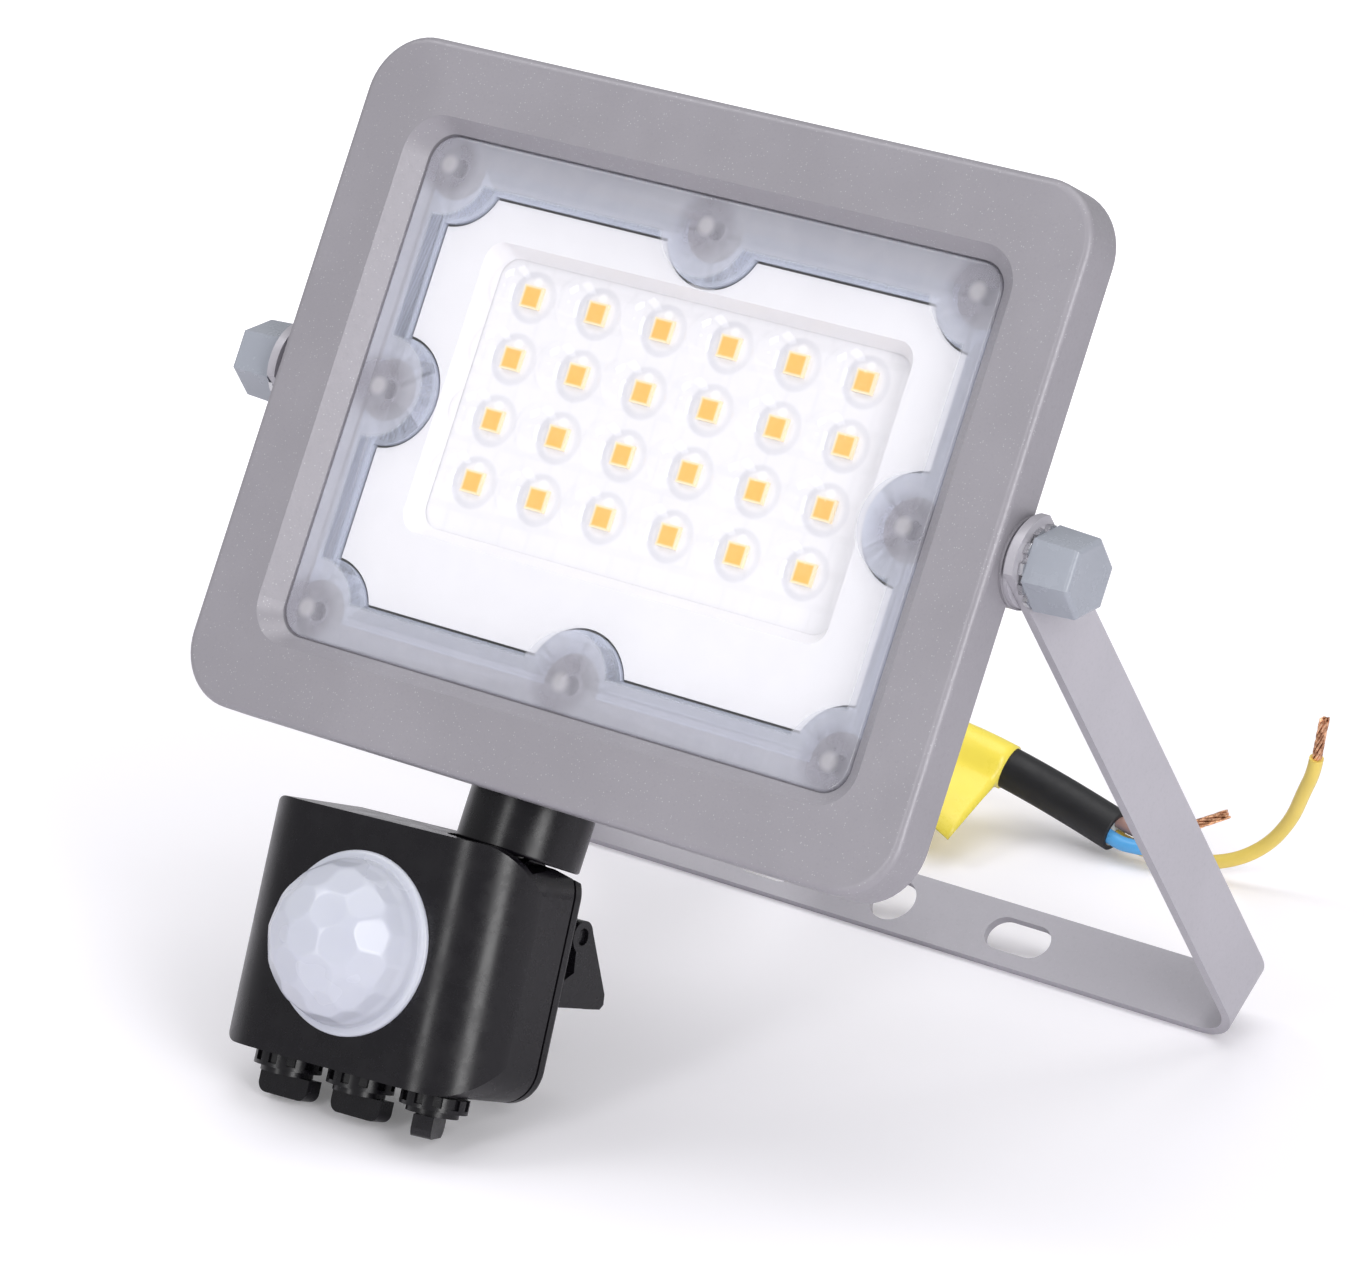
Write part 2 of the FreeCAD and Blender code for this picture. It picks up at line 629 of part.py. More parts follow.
def sensor_shell():
    """Front shell of the sensor: walls, dome opening, neck relief, hinge lugs, knob holes."""
    shell = head_form(0, SHELL_BACK, HEAD_FACE)
    hollow = head_form(SHELL_WALL, SHELL_BACK - 1, HEAD_FACE - SHELL_WALL)
    lug_in = EYE_W / 2 + LUG_GAP
    lugs = []
    for side in (-1, 1):
        x = side * (lug_in + LUG_T / 2)
        rib = block(x - LUG_T / 2, x + LUG_T / 2, -LUG_R, LUG_R, 0, HEAD_FACE - 0.5)
        lugs += [rib, rod(LUG_R, (x - LUG_T / 2, 0, 0), (1, 0, 0), LUG_T)]
    posts = [rod(POST_R, (x, y, SHELL_BACK + 0.3), (0, 0, 1), SHELL_D - SHELL_BEND)
             for x, y in cover_screw_spots()]
    stand_z = SENSOR_BOARD_Z
    stand_x = SB_W / 2 - SB_EDGE
    stand_y = SB_H / 2 - SB_EDGE
    posts += [rod(1.5, (SB_X + sx * stand_x, SB_Y + sy * stand_y, stand_z), (0, 0, 1),
                  HEAD_FACE - 0.5 - stand_z)
              for sx in (-1, 1) for sy in (-1, 1)]
    inner = head_form(0.5, SHELL_BACK, HEAD_FACE)
    shell = shell.cut(hollow).fuse([lug.common(inner) for lug in lugs + posts])
    cuts = [rod(DOME_R - DOME_WALL - 0.6, (DOME_X, DOME_CY, HEAD_FACE - SHELL_WALL - 1), (0, 0, 1),
                SHELL_WALL + 2)]
    slot_w = EYE_W + 2 * LUG_GAP
    cuts.append(block(-slot_w / 2, slot_w / 2, HEAD_TOP - SHELL_WALL - 0.5, HEAD_TOP + 1,
                      SHELL_BACK - 1, EYE_R + 3))
    cuts.append(neck_relief())
    cuts.append(rod(PIN_R + FIT, (-lug_in - LUG_T - 1, 0, 0), (1, 0, 0), 2 * (lug_in + LUG_T + 1)))
    cuts += [rod(KNOB_SHAFT_R + FIT, (knob_x(i), FOOT_Y - 1, KNOB_Z), (0, 1, 0), SHELL_WALL + 2)
             for i in range(3)]
    cuts += [rod(COVER_SCREW_R + FIT, (x, y, SHELL_BACK - 1), (0, 0, 1), 7) for x, y in cover_screw_spots()]
    return shell.cut(cuts)


def cover_screw_spots():
    dx = HEAD_W / 2 - COVER_SCREW_INSET
    return [(HEAD_X + sx * dx, y) for sx in (-1, 1)
            for y in (FOOT_Y + COVER_SCREW_INSET, HEAD_TOP - COVER_SCREW_DROP)]


def sensor_seal():
    """Thin seal that shows as the dark seam between shell and cover."""
    ring = slab(HEAD_W - 2 * SEAM_INSET, HEAD_H - 2 * SEAM_INSET, HEAD_R - SEAM_INSET,
                COVER_FRONT, SHELL_BACK, HEAD_X, HEAD_Y)
    inset = SHELL_WALL + 0.4
    hole = slab(HEAD_W - 2 * inset, HEAD_H - 2 * inset, HEAD_R - inset,
                COVER_FRONT - 1, SHELL_BACK + 1, HEAD_X, HEAD_Y)
    holes = [rod(COVER_SCREW_R + 0.2, (x, y, COVER_FRONT - 1), (0, 0, 1), 3) for x, y in cover_screw_spots()]
    return ring.cut([hole, neck_relief()] + holes)


def ear_profile(x0, x1, points):
    """Flat plate across x from points (y, z)."""
    pts = [Vector(x0, y, z) for y, z in points]
    return Part.Face(Part.makePolygon(pts + [pts[0]])).extrude(Vector(x1 - x0, 0, 0))


LOCK_Z = COVER_BACK - LOCK_OUT


def sensor_back_cover():
    """Back cover with the two gusset ears that carry the tilt lock."""
    cover = slab(HEAD_W, HEAD_H, HEAD_R, COVER_BACK, COVER_FRONT, HEAD_X, HEAD_Y)
    rim = edges_at(cover, lambda p: abs(p.z - COVER_BACK) < 1e-6)
    cover = cover.makeFillet(COVER_ROUND, rim)
    ears = []
    for side in (-1, 1):
        x = side * (EAR_PLATE_X + EAR_PLATE_T / 2)
        low = x - EAR_PLATE_T / 2
        gusset = ear_profile(low, low + EAR_PLATE_T, [
            (LOCK_Y + 6.4, COVER_BACK + 0.5), (LOCK_Y + LOCK_PIN_R, LOCK_Z - LOCK_PIN_R),
            (LOCK_Y - LOCK_PIN_R, LOCK_Z - LOCK_PIN_R), (LOCK_Y - 12.0, COVER_BACK + 0.5)])
        ears += [gusset, rod(LOCK_PIN_R + 1.2, (low, LOCK_Y, LOCK_Z), (1, 0, 0), EAR_PLATE_T)]
    body = cover.fuse(ears)
    cuts = [rod(LOCK_PIN_R + FIT, (-LOCK_W, LOCK_Y, LOCK_Z), (1, 0, 0), 2 * LOCK_W), neck_relief()]
    eye_room = EYE_W / 2 + LUG_GAP
    cuts.append(rod(EYE_R + NECK_GAP, (-eye_room, 0, 0), (1, 0, 0), 2 * eye_room))
    for x, y in cover_screw_spots():
        cuts.append(rod(COVER_SCREW_R + 0.2, (x, y, COVER_BACK - 1), (0, 0, 1), COVER_T + 2))
        cuts.append(rod(COVER_HEAD_R + 0.2, (x, y, COVER_BACK - 1), (0, 0, 1), 2.0))
    return body.cut(cuts)


def cover_screws():
    """Small screws that come in from the back, heads sunk in the cover."""
    screws = []
    for x, y in cover_screw_spots():
        head = rod(COVER_HEAD_R, (x, y, COVER_BACK), (0, 0, 1), 1.0)
        shank = rod(COVER_SCREW_R, (x, y, COVER_BACK + 1.0), (0, 0, 1), COVER_T + SEAM_T + 4.0)
        recess = rod(1.0, (x, y, COVER_BACK - 0.5), (0, 0, 1), 1.0)
        screws.append(head.fuse(shank).cut(recess))
    return Part.makeCompound(screws)


def dome_lens():
    """Translucent dome of the sensor, with a flange on the face and a skirt in its hole."""
    centre = Vector(DOME_X, DOME_CY, HEAD_FACE)
    front = block(DOME_X - 20, DOME_X + 20, DOME_CY - 20, DOME_CY + 20, HEAD_FACE, HEAD_FACE + 20)
    outer = Part.makeSphere(DOME_R, centre).common(front)
    flange = rod(DOME_FLANGE_R, (DOME_X, DOME_CY, HEAD_FACE), (0, 0, 1), DOME_FLANGE_T)
    rim = edges_at(flange, lambda p: abs(p.z - HEAD_FACE - DOME_FLANGE_T) < 1e-6)
    flange = flange.makeFillet(DOME_FLANGE_T * 0.6, rim)
    skirt_r = DOME_R - DOME_WALL - 0.6 - DOME_FIT
    skirt = rod(skirt_r, (DOME_X, DOME_CY, HEAD_FACE - SHELL_WALL), (0, 0, 1), SHELL_WALL + 1)
    inner = Part.makeSphere(DOME_R - DOME_WALL, centre).common(front)
    bore = rod(skirt_r - DOME_WALL, (DOME_X, DOME_CY, HEAD_FACE - SHELL_WALL - 1), (0, 0, 1), SHELL_WALL + 4)
    return outer.fuse([flange, skirt]).cut([inner, bore])


def sensor_board():
    return slab(SB_W, SB_H, 1.0, SENSOR_BOARD_Z - BOARD_T, SENSOR_BOARD_Z, SB_X, SB_Y)


def pir_element():
    """Round metal can of the infrared element, behind the dome."""
    can = rod(4.1, (DOME_X, DOME_CY, SENSOR_BOARD_Z), (0, 0, 1), 4.0)
    rim = rod(4.7, (DOME_X, DOME_CY, SENSOR_BOARD_Z), (0, 0, 1), 0.6)
    return can.fuse(rim)


def relay():
    x = DOME_X - 9
    z = SENSOR_BOARD_Z - BOARD_T
    return block(x - 7, x + 7, SB_Y - 5, SB_Y + 5, z - 8.0, z)


def capacitor():
    return rod(3.6, (DOME_X + 4, SB_Y + 2, SENSOR_BOARD_Z - BOARD_T), (0, 0, -1), 8.0)


def potentiometers():
    """Three dials' resistors, standing on the shell's floor over the knob holes."""
    low = FOOT_Y + SHELL_WALL
    size = DIAL_HALF
    foot = low + KNOB_SHAFT_IN + 0.3
    back = KNOB_Z - size
    front = KNOB_Z + 1.0
    parts = []
    for i in range(3):
        x = knob_x(i)
        body = block(x - size, x + size, foot, foot + 3.0, back, front)
        body = body.fuse(block(x - size, x - size + 1, low, foot, back, front))
        parts.append(body.fuse(block(x + size - 1, x + size, low, foot, back, front)))
    return Part.makeCompound(parts)


def tilt_pin():
    reach = EYE_W / 2 + LUG_GAP + LUG_T
    return rod(PIN_R, (-reach, 0, 0), (1, 0, 0), 2 * reach)


def knob(index, turn):
    """Dial under the sensor: ribbed collar, ring, thumb bar and shaft."""
    x = knob_x(index)
    top = FOOT_Y - KNOB_GAP
    collar = rod(COLLAR_R, (x, top - COLLAR_T, KNOB_Z), (0, 1, 0), COLLAR_T)
    notches = []
    for i in range(COLLAR_RIBS):
        a = 2 * math.pi * (i + 0.5) / COLLAR_RIBS
        cx = x + COLLAR_R * math.cos(a)
        cz = KNOB_Z + COLLAR_R * math.sin(a)
        notch = block(-0.6, 0.8, top - COLLAR_T + 0.6, top + 1, -0.72, 0.72)
        notch.Placement = Placement(Vector(cx, 0, cz), Rotation(Vector(0, 1, 0), -math.degrees(a)))
        notches.append(notch)
    collar = collar.cut(notches)
    ring = rod(RING_R, (x, top - COLLAR_T - RING_T, KNOB_Z), (0, 1, 0), RING_T)
    low = top - COLLAR_T - RING_T - BAR_T
    bar = block(BAR_SHIFT - BAR_L / 2, BAR_SHIFT + BAR_L / 2, low, low + BAR_T, -BAR_W / 2, BAR_W / 2)
    ends = [e for e in bar.Edges if abs(e.BoundBox.YMin - low) < 1e-6 and abs(e.BoundBox.YMax - low) < 1e-6
            and e.BoundBox.XLength < 1e-6]
    bar = bar.makeFillet(1.6, ends)
    bar.Placement = Placement(Vector(x, 0, KNOB_Z), Rotation(Vector(0, 1, 0), turn))
    shaft = rod(KNOB_SHAFT_R, (x, top - 1, KNOB_Z), (0, 1, 0), KNOB_GAP + SHELL_WALL + KNOB_SHAFT_IN + 1)
    return joined([collar, ring, bar, shaft])


def lock_points(pairs):
    """Side profile points of the lock lever, given from its pin."""
    return [(LOCK_Y + y, LOCK_Z + z) for y, z in pairs]


def lock_lever():
    """Lever that locks the tilt: two hubs outside the ears and a flared thumb plate."""
    half = LOCK_W / 2
    near = LOCK_OUT - LEVER_GAP
    plate = ear_profile(-half, half, lock_points(
        [(-1.5, -4.0), (-8.3, -8.9), (-9.9, -9.2), (-10.7, -8.4), (-10.9, -4.0), (-9.3, -4.0),
         (-9.1, -7.1), (-2.6, -2.9)]))
    cheeks = []
    for side in (-1, 1):
        x = side * (half - EAR_PLATE_T / 2)
        low = x - EAR_PLATE_T / 2
        cheeks.append(rod(LOCK_HUB_R, (low, LOCK_Y, LOCK_Z), (1, 0, 0), EAR_PLATE_T))
        cheeks.append(ear_profile(low, low + EAR_PLATE_T, lock_points(
            [(1.4, -2.0), (-8.3, -8.9), (-9.9, -9.2), (-10.7, -8.4), (-11.1, near), (-7.0, near),
             (-5.6, 0.4), (0, 1.5)])))
    body = joined([plate] + cheeks)
    return body.cut(rod(LOCK_PIN_R + FIT, (-LOCK_W, LOCK_Y, LOCK_Z), (1, 0, 0), 2 * LOCK_W))


def lock_pin():
    reach = LOCK_W / 2 - 0.6
    return rod(LOCK_PIN_R, (-reach, LOCK_Y, LOCK_Z), (1, 0, 0), 2 * reach)


# Bracket, in the bracket frame

def u_face(half, foot, radius, top):
    """Closed U outline across z: two legs, round lower corners."""
    k = radius * (1 - math.sqrt(0.5))

    def at(x, y):
        return Vector(x, y, 0)

    edges = [Part.LineSegment(at(half, top), at(-half, top)).toShape(),
             Part.LineSegment(at(-half, top), at(-half, foot + radius)).toShape(),
             Part.Arc(at(-half, foot + radius), at(-half + k, foot + k), at(-half + radius, foot)).toShape(),
             Part.LineSegment(at(-half + radius, foot), at(half - radius, foot)).toShape(),
             Part.Arc(at(half - radius, foot), at(half - k, foot + k), at(half, foot + radius)).toShape(),
             Part.LineSegment(at(half, foot + radius), at(half, top)).toShape()]
    return Part.Face(Part.Wire(edges))


def bracket():
    """Flat strip bent to a U, with round arm ends, one middle hole and two slots."""
    outer = u_face(ARM_OUT, -ARM_L - STRIP_T, BEND_R, 0).extrude(Vector(0, 0, STRIP_W))
    inner = u_face(ARM_IN, -ARM_L, BEND_R - STRIP_T, 1).extrude(Vector(0, 0, STRIP_W))
    strip = outer.cut(inner)
    strip.translate(Vector(0, 0, -STRIP_W / 2))
    ends = []
    for side in (-1, 1):
        low = min(side * ARM_IN, side * ARM_OUT)
        end = rod(ARM_END_R, (low, 0, 0), (1, 0, 0), STRIP_T)
        ends.append(end.common(block(low, low + STRIP_T, -1, ARM_END_R, -STRIP_W / 2, STRIP_W / 2)))
    body = joined([strip] + ends)
    cuts = [rod(BOLT_R + FIT, (-ARM_OUT - 1, 0, 0), (1, 0, 0), 2 * ARM_OUT + 2)]
    low = -ARM_L - STRIP_T - 1
    cuts.append(rod(HOLE_R, (0, low, 0), (0, 1, 0), STRIP_T + 2))
    for side in (-1, 1):
        reach = (SLOT_L - SLOT_W) / 2
        x = side * SLOT_X
        cuts += [rod(SLOT_W / 2, (x - reach, low, 0), (0, 1, 0), STRIP_T + 2),
                 rod(SLOT_W / 2, (x + reach, low, 0), (0, 1, 0), STRIP_T + 2),
                 block(x - reach, x + reach, low, low + STRIP_T + 2, -SLOT_W / 2, SLOT_W / 2)]
    return body.cut(cuts)


# Supply cable, its three cores and its tag: points chosen by hand in the row frame

CABLE_R = 3.6
GLAND_SEAL_R = 4.8
CABLE_IN = 6.0
FIRST_RUN = 20.0
CABLE_TAIL = [Vector(-33, 51.2, 36.9), Vector(-35.5, 76.7, 26.2), Vector(-25.7, 93.8, 18.0),
              Vector(-8.7, 103.7, 10.9), Vector(13.0, 103.0, 4.8)]
ARC_SHARE = 0.45
CORE_R = 1.2
CORE_RING = 1.75
CORE_OUT = 2.8
COPPER_R = 0.85
COPPER_L = 8.5
TAG_T = 0.35
FLAP_L = 14.0
FLAP_T = 0.5


def arc_route(points):
    """Straight runs joined by tangent arcs; returns the edges and the arcs' radii."""
    edges = []
    radii = []
    here = points[0]
    for i in range(1, len(points) - 1):
        back = points[i - 1] - points[i]
        on = points[i + 1] - points[i]
        cut = ARC_SHARE * min(back.Length, on.Length)
        half_turn = (math.pi - back.getAngle(on)) / 2
        radius = cut / math.tan(half_turn)
        back.normalize()
        on.normalize()
        start = points[i] + back * cut
        end = points[i] + on * cut
        middle = points[i] + (back + on).normalize() * (radius / math.cos(half_turn) - radius)
        edges.append(Part.LineSegment(here, start).toShape())
        edges.append(Part.Arc(start, middle, end).toShape())
        radii.append(round(radius, 1))
        here = end
    edges.append(Part.LineSegment(here, points[-1]).toShape())
    return edges, radii


def swept(route, radius):
    """Round tube along a wire, starting square to its first edge."""
    first = route.Edges[0]
    start = first.valueAt(first.FirstParameter)
    along = first.tangentAt(first.FirstParameter)
    section = Part.Wire(Part.makeCircle(radius, start, along))
    return route.makePipeShell([section], True, False)


def tube(name, points, radius):
    edges, radii = arc_route(points)
    route = Part.Wire(edges)
    body = swept(route, radius)
    share = body.Volume / (math.pi * radius ** 2 * route.Length)
    print(name, "length", round(route.Length, 1), "radii", radii, "volume share", round(share, 4))
    return body


def core_points(turn, later):
    """A core leaves the jacket's end square to its face, then follows its own points."""
    end = CABLE_TAIL[-1]
    out = (end - CABLE_TAIL[-2]).normalize()
    side = Vector(0, 0, 1).cross(out).normalize()
    up = out.cross(side)
    a = math.radians(turn)
    start = end + (side * math.cos(a) + up * math.sin(a)) * CORE_RING
    return [start, start + out * CORE_OUT] + later


CORES = {"wire_blue": (195, [Vector(19.3, 101.5, 3.7), Vector(22.5, 102.4, 4.0)]),
         "wire_brown": (65, [Vector(19.3, 104.4, 5.1), Vector(21.6, 105.5, 5.5), Vector(23.7, 106.8, 6.5)]),
         "wire_earth": (300, [Vector(20.3, 104.0, 2.2), Vector(27.5, 104.4, 2.3), Vector(35.3, 104.9, 4.5),
                              Vector(41.5, 105.4, 8.8), Vector(46.6, 104.1, 15.3), Vector(50.2, 101.4, 22.0),
                              Vector(52.8, 99.8, 26.5), Vector(53.6, 99.2, 29.5)])}


def cores():
    """The three insulated cores and, in one node, the bare strands at their ends."""
    done = {}
    strands = []
    for name, (turn, later) in CORES.items():
        points = core_points(turn, later)
        done[name] = tube(name, points, CORE_R)
        out = (points[-1] - points[-2]).normalize()
        strands.append(rod(COPPER_R, points[-1], out, COPPER_L))
    done["copper_strands"] = Part.makeCompound(strands)
    return done


def cable_tag(points):
    """Folded sheet round the cable with its two ends stuck together as a flap."""
    edges = arc_route(points)[0]
    bend = edges[-4]
    last = edges[-2]
    half = last.Curve.toShape(last.FirstParameter, (last.FirstParameter + last.LastParameter) / 2)
    route = Part.Wire([bend, edges[-3], half])
    sleeve = swept(route, CABLE_R + FIT + TAG_T)
    start = bend.valueAt(bend.FirstParameter)
    end = last.valueAt(last.FirstParameter)
    along = (end - start).normalize()
    down = Vector(0.1, -0.69, -0.72)
    down = (down - along * down.dot(along)).normalize()
    thick = along.cross(down) * FLAP_T
    corners = [start + down * 1.5, end + down * 1.5, end + down * FLAP_L, start + down * FLAP_L]
    corners = [c - thick * 0.5 for c in corners]
    flap = Part.Face(Part.makePolygon(corners + [corners[0]])).extrude(thick)
    whole = Part.Wire(edges)
    return sleeve.fuse(flap).cut(swept(whole, CABLE_R + FIT))


# Assembly

def lamp_pieces():
    return {"housing": housing(), "lens_plate": lens_plate(), "lens_gasket": lens_gasket(),
            "reflector_tray": reflector_tray(), "led_board": led_board(), "led_chips": led_chips(),
            "driver_chips": driver_chips(), "board_screws": board_screws(),
            "pivot_bolts": pivot_bolts(), "pivot_washers": pivot_washers(), "tooth_washers": tooth_washers(),
            "bolt_caps": bolt_caps(), "gland_base": gland_base(), "gland_nut": gland_nut(),
            "gland_seal": gland_seal()}


def neck_pieces():
    return {"sensor_neck": sensor_neck(), "neck_seal": neck_seal(), "neck_nut": neck_nut()}


def head_pieces():
    return {"sensor_shell": sensor_shell(), "sensor_seal": sensor_seal(),
            "sensor_back_cover": sensor_back_cover(),
            "cover_screws": cover_screws(), "dome_lens": dome_lens(), "sensor_board": sensor_board(),
            "pir_element": pir_element(), "relay": relay(), "capacitor": capacitor(),
            "potentiometers": potentiometers(), "tilt_pin": tilt_pin(), "lock_pin": lock_pin(),
            "lock_lever": lock_lever(), "lux_knob": knob(0, 0), "time_knob": knob(1, 0),
            "sensitivity_knob": knob(2, THIRD_KNOB_TURN)}


def turned(degrees):
    return Placement(Vector(0, 0, 0), Rotation(Vector(1, 0, 0), degrees))


def moved(x, y, z):
    return Placement(Vector(x, y, z), Rotation())


def rolled(degrees):
    return Placement(Vector(0, 0, 0), Rotation(Vector(0, 0, 1), degrees))


def placed(pieces, place):
    done = {}
    for name, shape in pieces.items():
        done[name] = shape.copy()
        done[name].Placement = place.multiply(shape.Placement)
    return done


LAMP_PLACE = turned(90 - LAMP_LEAN).multiply(moved(0, 0, PIVOT_DEPTH))
NECK_PLACE = LAMP_PLACE.multiply(moved(NECK_X, PIN_Y, -NECK_DEPTH))
HEAD_PLACE = NECK_PLACE.multiply(turned(SENSOR_NOD)).multiply(rolled(SENSOR_SLACK))


def arm_lean(drop):
    """Backward lean of the arms at which the strip's front edge is as low as the drop."""
    reach = math.hypot(ARM_L + STRIP_T, STRIP_W / 2)
    corner = math.atan2(STRIP_W / 2, ARM_L + STRIP_T)
    return math.degrees(corner + math.acos(drop / reach))


def build():
    pieces = placed(lamp_pieces(), LAMP_PLACE)
    pieces.update(placed(neck_pieces(), NECK_PLACE))
    pieces.update(placed(head_pieces(), HEAD_PLACE))
    drop = -min(pieces[name].BoundBox.ZMin for name in ("lux_knob", "time_knob", "sensitivity_knob"))
    lean = arm_lean(drop)
    bracket_place = turned(90 + lean)
    pieces.update(placed({"bracket": bracket()}, bracket_place))
    front = min(s.BoundBox.YMin for s in pieces.values())
    back = max(s.BoundBox.YMax for s in pieces.values())
    shift = moved(0, -(front + back) / 2, drop)
    pieces = placed(pieces, shift)
    start = -BOX_D - GLAND_BASE_T - GLAND_NUT_T + CABLE_IN
    in_gland = shift.multiply(LAMP_PLACE).multVec(Vector(GLAND_X, GLAND_Y, start))
    out = shift.multiply(LAMP_PLACE).Rotation.multVec(Vector(0, 0, -1))
    cable = [in_gland, in_gland + out * (FIRST_RUN + CABLE_IN)] + CABLE_TAIL
    pieces["supply_cable"] = tube("supply_cable", cable, CABLE_R)
    pieces["cable_tag"] = cable_tag(cable)
    pieces.update(cores())
    print("arm lean", round(lean, 3), "pivot", [round(v, 3) for v in shift.Base])
    print("tilt pin", shift.multiply(NECK_PLACE).Base, "cable start", cable[0], cable[1])
    print("neck axis", shift.multiply(LAMP_PLACE).Rotation.multVec(Vector(0, 1, 0)))
    turn = shift.multiply(HEAD_PLACE).Rotation
    print("head axes", turn.multVec(Vector(1, 0, 0)), turn.multVec(Vector(0, 1, 0)))
    print("knob 1", shift.multiply(HEAD_PLACE).multVec(Vector(knob_x(0), FOOT_Y, KNOB_Z)))
    print("lock axis", shift.multiply(HEAD_PLACE).multVec(Vector(0, LOCK_Y, LOCK_Z)))
    print("hole", shift.multiply(bracket_place).multVec(Vector(0, -ARM_L - STRIP_T / 2, 0)))
    return pieces


def export(pieces):
    os.makedirs("parts", exist_ok=True)
    for name, shape in pieces.items():
        if not shape.isValid():
            print("not valid:", name)
        shape.exportStep("parts/" + name + ".step")


export(build())
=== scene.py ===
import json
import math
import random

import bpy
from mathutils import Matrix, Vector


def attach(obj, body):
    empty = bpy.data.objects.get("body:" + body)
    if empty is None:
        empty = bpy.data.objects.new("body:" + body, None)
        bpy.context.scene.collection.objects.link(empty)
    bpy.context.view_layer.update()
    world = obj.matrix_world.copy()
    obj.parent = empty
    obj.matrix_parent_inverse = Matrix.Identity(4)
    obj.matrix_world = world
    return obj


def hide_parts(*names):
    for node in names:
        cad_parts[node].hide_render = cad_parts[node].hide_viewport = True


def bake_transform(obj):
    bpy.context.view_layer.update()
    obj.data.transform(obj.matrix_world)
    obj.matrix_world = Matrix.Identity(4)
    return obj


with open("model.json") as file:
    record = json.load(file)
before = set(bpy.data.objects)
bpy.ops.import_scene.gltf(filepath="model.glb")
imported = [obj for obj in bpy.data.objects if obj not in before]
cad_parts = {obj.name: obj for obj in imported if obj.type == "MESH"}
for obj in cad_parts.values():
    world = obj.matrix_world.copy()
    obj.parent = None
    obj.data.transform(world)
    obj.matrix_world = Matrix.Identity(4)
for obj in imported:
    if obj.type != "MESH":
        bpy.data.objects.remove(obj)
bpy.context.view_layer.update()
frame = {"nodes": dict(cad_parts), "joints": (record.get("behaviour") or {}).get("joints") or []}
random.seed(4)

JOINTS = {j["name"]: j for j in frame["joints"]}
PIVOT = Vector(JOINTS["lamp_tilt"]["pos_m"])
LAMP_Y = Vector(JOINTS["sensor_swivel"]["axis"]).normalized()
LAMP_Z = Vector((1, 0, 0)).cross(LAMP_Y)
LAMP_CENTRE = PIVOT + 0.009 * LAMP_Z
CHIP_FIELD = LAMP_CENTRE + 0.0048 * LAMP_Y
CHIP_PITCH_X = 0.01248
CHIP_PITCH_Y = 0.009867
PEG_X = 0.0492
PEG_Y = 0.0357
CLEAR_X = 0.0495
CLEAR_Y = 0.0335
TILT_PIN = Vector(JOINTS["sensor_tilt"]["pos_m"])
HEAD_X = Vector(JOINTS["sensor_tilt"]["axis"]).normalized()
HEAD_Y = Vector(JOINTS["lux_knob_turn"]["axis"]).normalized()
HEAD_Z = HEAD_X.cross(HEAD_Y)


class Look:
    """One procedural material; every call adds a node and returns the socket that others use."""

    def __init__(self, name):
        self.mat = bpy.data.materials.new(name)
        self.mat.use_nodes = True
        self.tree = self.mat.node_tree
        self.tree.nodes.clear()
        self.out = self.tree.nodes.new("ShaderNodeOutputMaterial")
        self.place = self.tree.nodes.new("ShaderNodeTexCoord").outputs["Object"]

    def put(self, socket, value):
        if isinstance(value, bpy.types.NodeSocket):
            self.tree.links.new(value, socket)
        elif isinstance(value, (tuple, list, Vector)) and socket.type == "RGBA" and len(value) == 3:
            socket.default_value = (*value, 1)
        else:
            socket.default_value = value

    def node(self, kind, inputs=None, **settings):
        n = self.tree.nodes.new(kind)
        for key, value in settings.items():
            setattr(n, key, value)
        for key, value in (inputs or {}).items():
            self.put(n.inputs[key], value)
        return n

    def math(self, operation, a, b=0.0, clamp=False):
        return self.node("ShaderNodeMath", {0: a, 1: b}, operation=operation, use_clamp=clamp).outputs[0]

    def along(self, direction, origin=(0, 0, 0)):
        moved = self.node("ShaderNodeVectorMath", {0: self.place, 1: origin}, operation="SUBTRACT").outputs[0]
        dot = self.node("ShaderNodeVectorMath", {0: moved, 1: direction}, operation="DOT_PRODUCT")
        return dot.outputs["Value"]

    def noise(self, scale, detail=3.0, rough=0.55, stretch=None):
        where = self.place
        if stretch:
            where = self.node("ShaderNodeVectorMath", {0: where, 1: stretch}, operation="MULTIPLY").outputs[0]
        inputs = {"Vector": where, "Scale": scale, "Detail": detail, "Roughness": rough}
        return self.node("ShaderNodeTexNoise", inputs).outputs["Fac"]

    def cells(self, scale):
        return self.node("ShaderNodeTexVoronoi", {"Vector": self.place, "Scale": scale})

    def span(self, value, low, high, to_low=0.0, to_high=1.0):
        return self.node("ShaderNodeMapRange", {"Value": value, "From Min": low, "From Max": high,
                                                "To Min": to_low, "To Max": to_high},
                         interpolation_type="SMOOTHSTEP").outputs["Result"]

    def mix(self, fac, a, b):
        n = self.tree.nodes.new("ShaderNodeMix")
        n.data_type = "RGBA"
        self.put(n.inputs["Factor"], fac)
        self.put(n.inputs[6], a)
        self.put(n.inputs[7], b)
        return n.outputs[2]

    def bump(self, height, strength, distance, normal=None):
        inputs = {"Height": height, "Strength": strength, "Distance": distance}
        if normal is not None:
            inputs["Normal"] = normal
        return self.node("ShaderNodeBump", inputs).outputs["Normal"]

    def surface(self, **values):
        n = self.tree.nodes.new("ShaderNodeBsdfPrincipled")
        for key, value in values.items():
            self.put(n.inputs[key.replace("_", " ")], value)
        return n.outputs[0]

    def done(self, shader):
        self.tree.links.new(shader, self.out.inputs["Surface"])
        return self.mat


def shade(colour, amount):
    return tuple(max(0.0, c * amount) for c in colour)


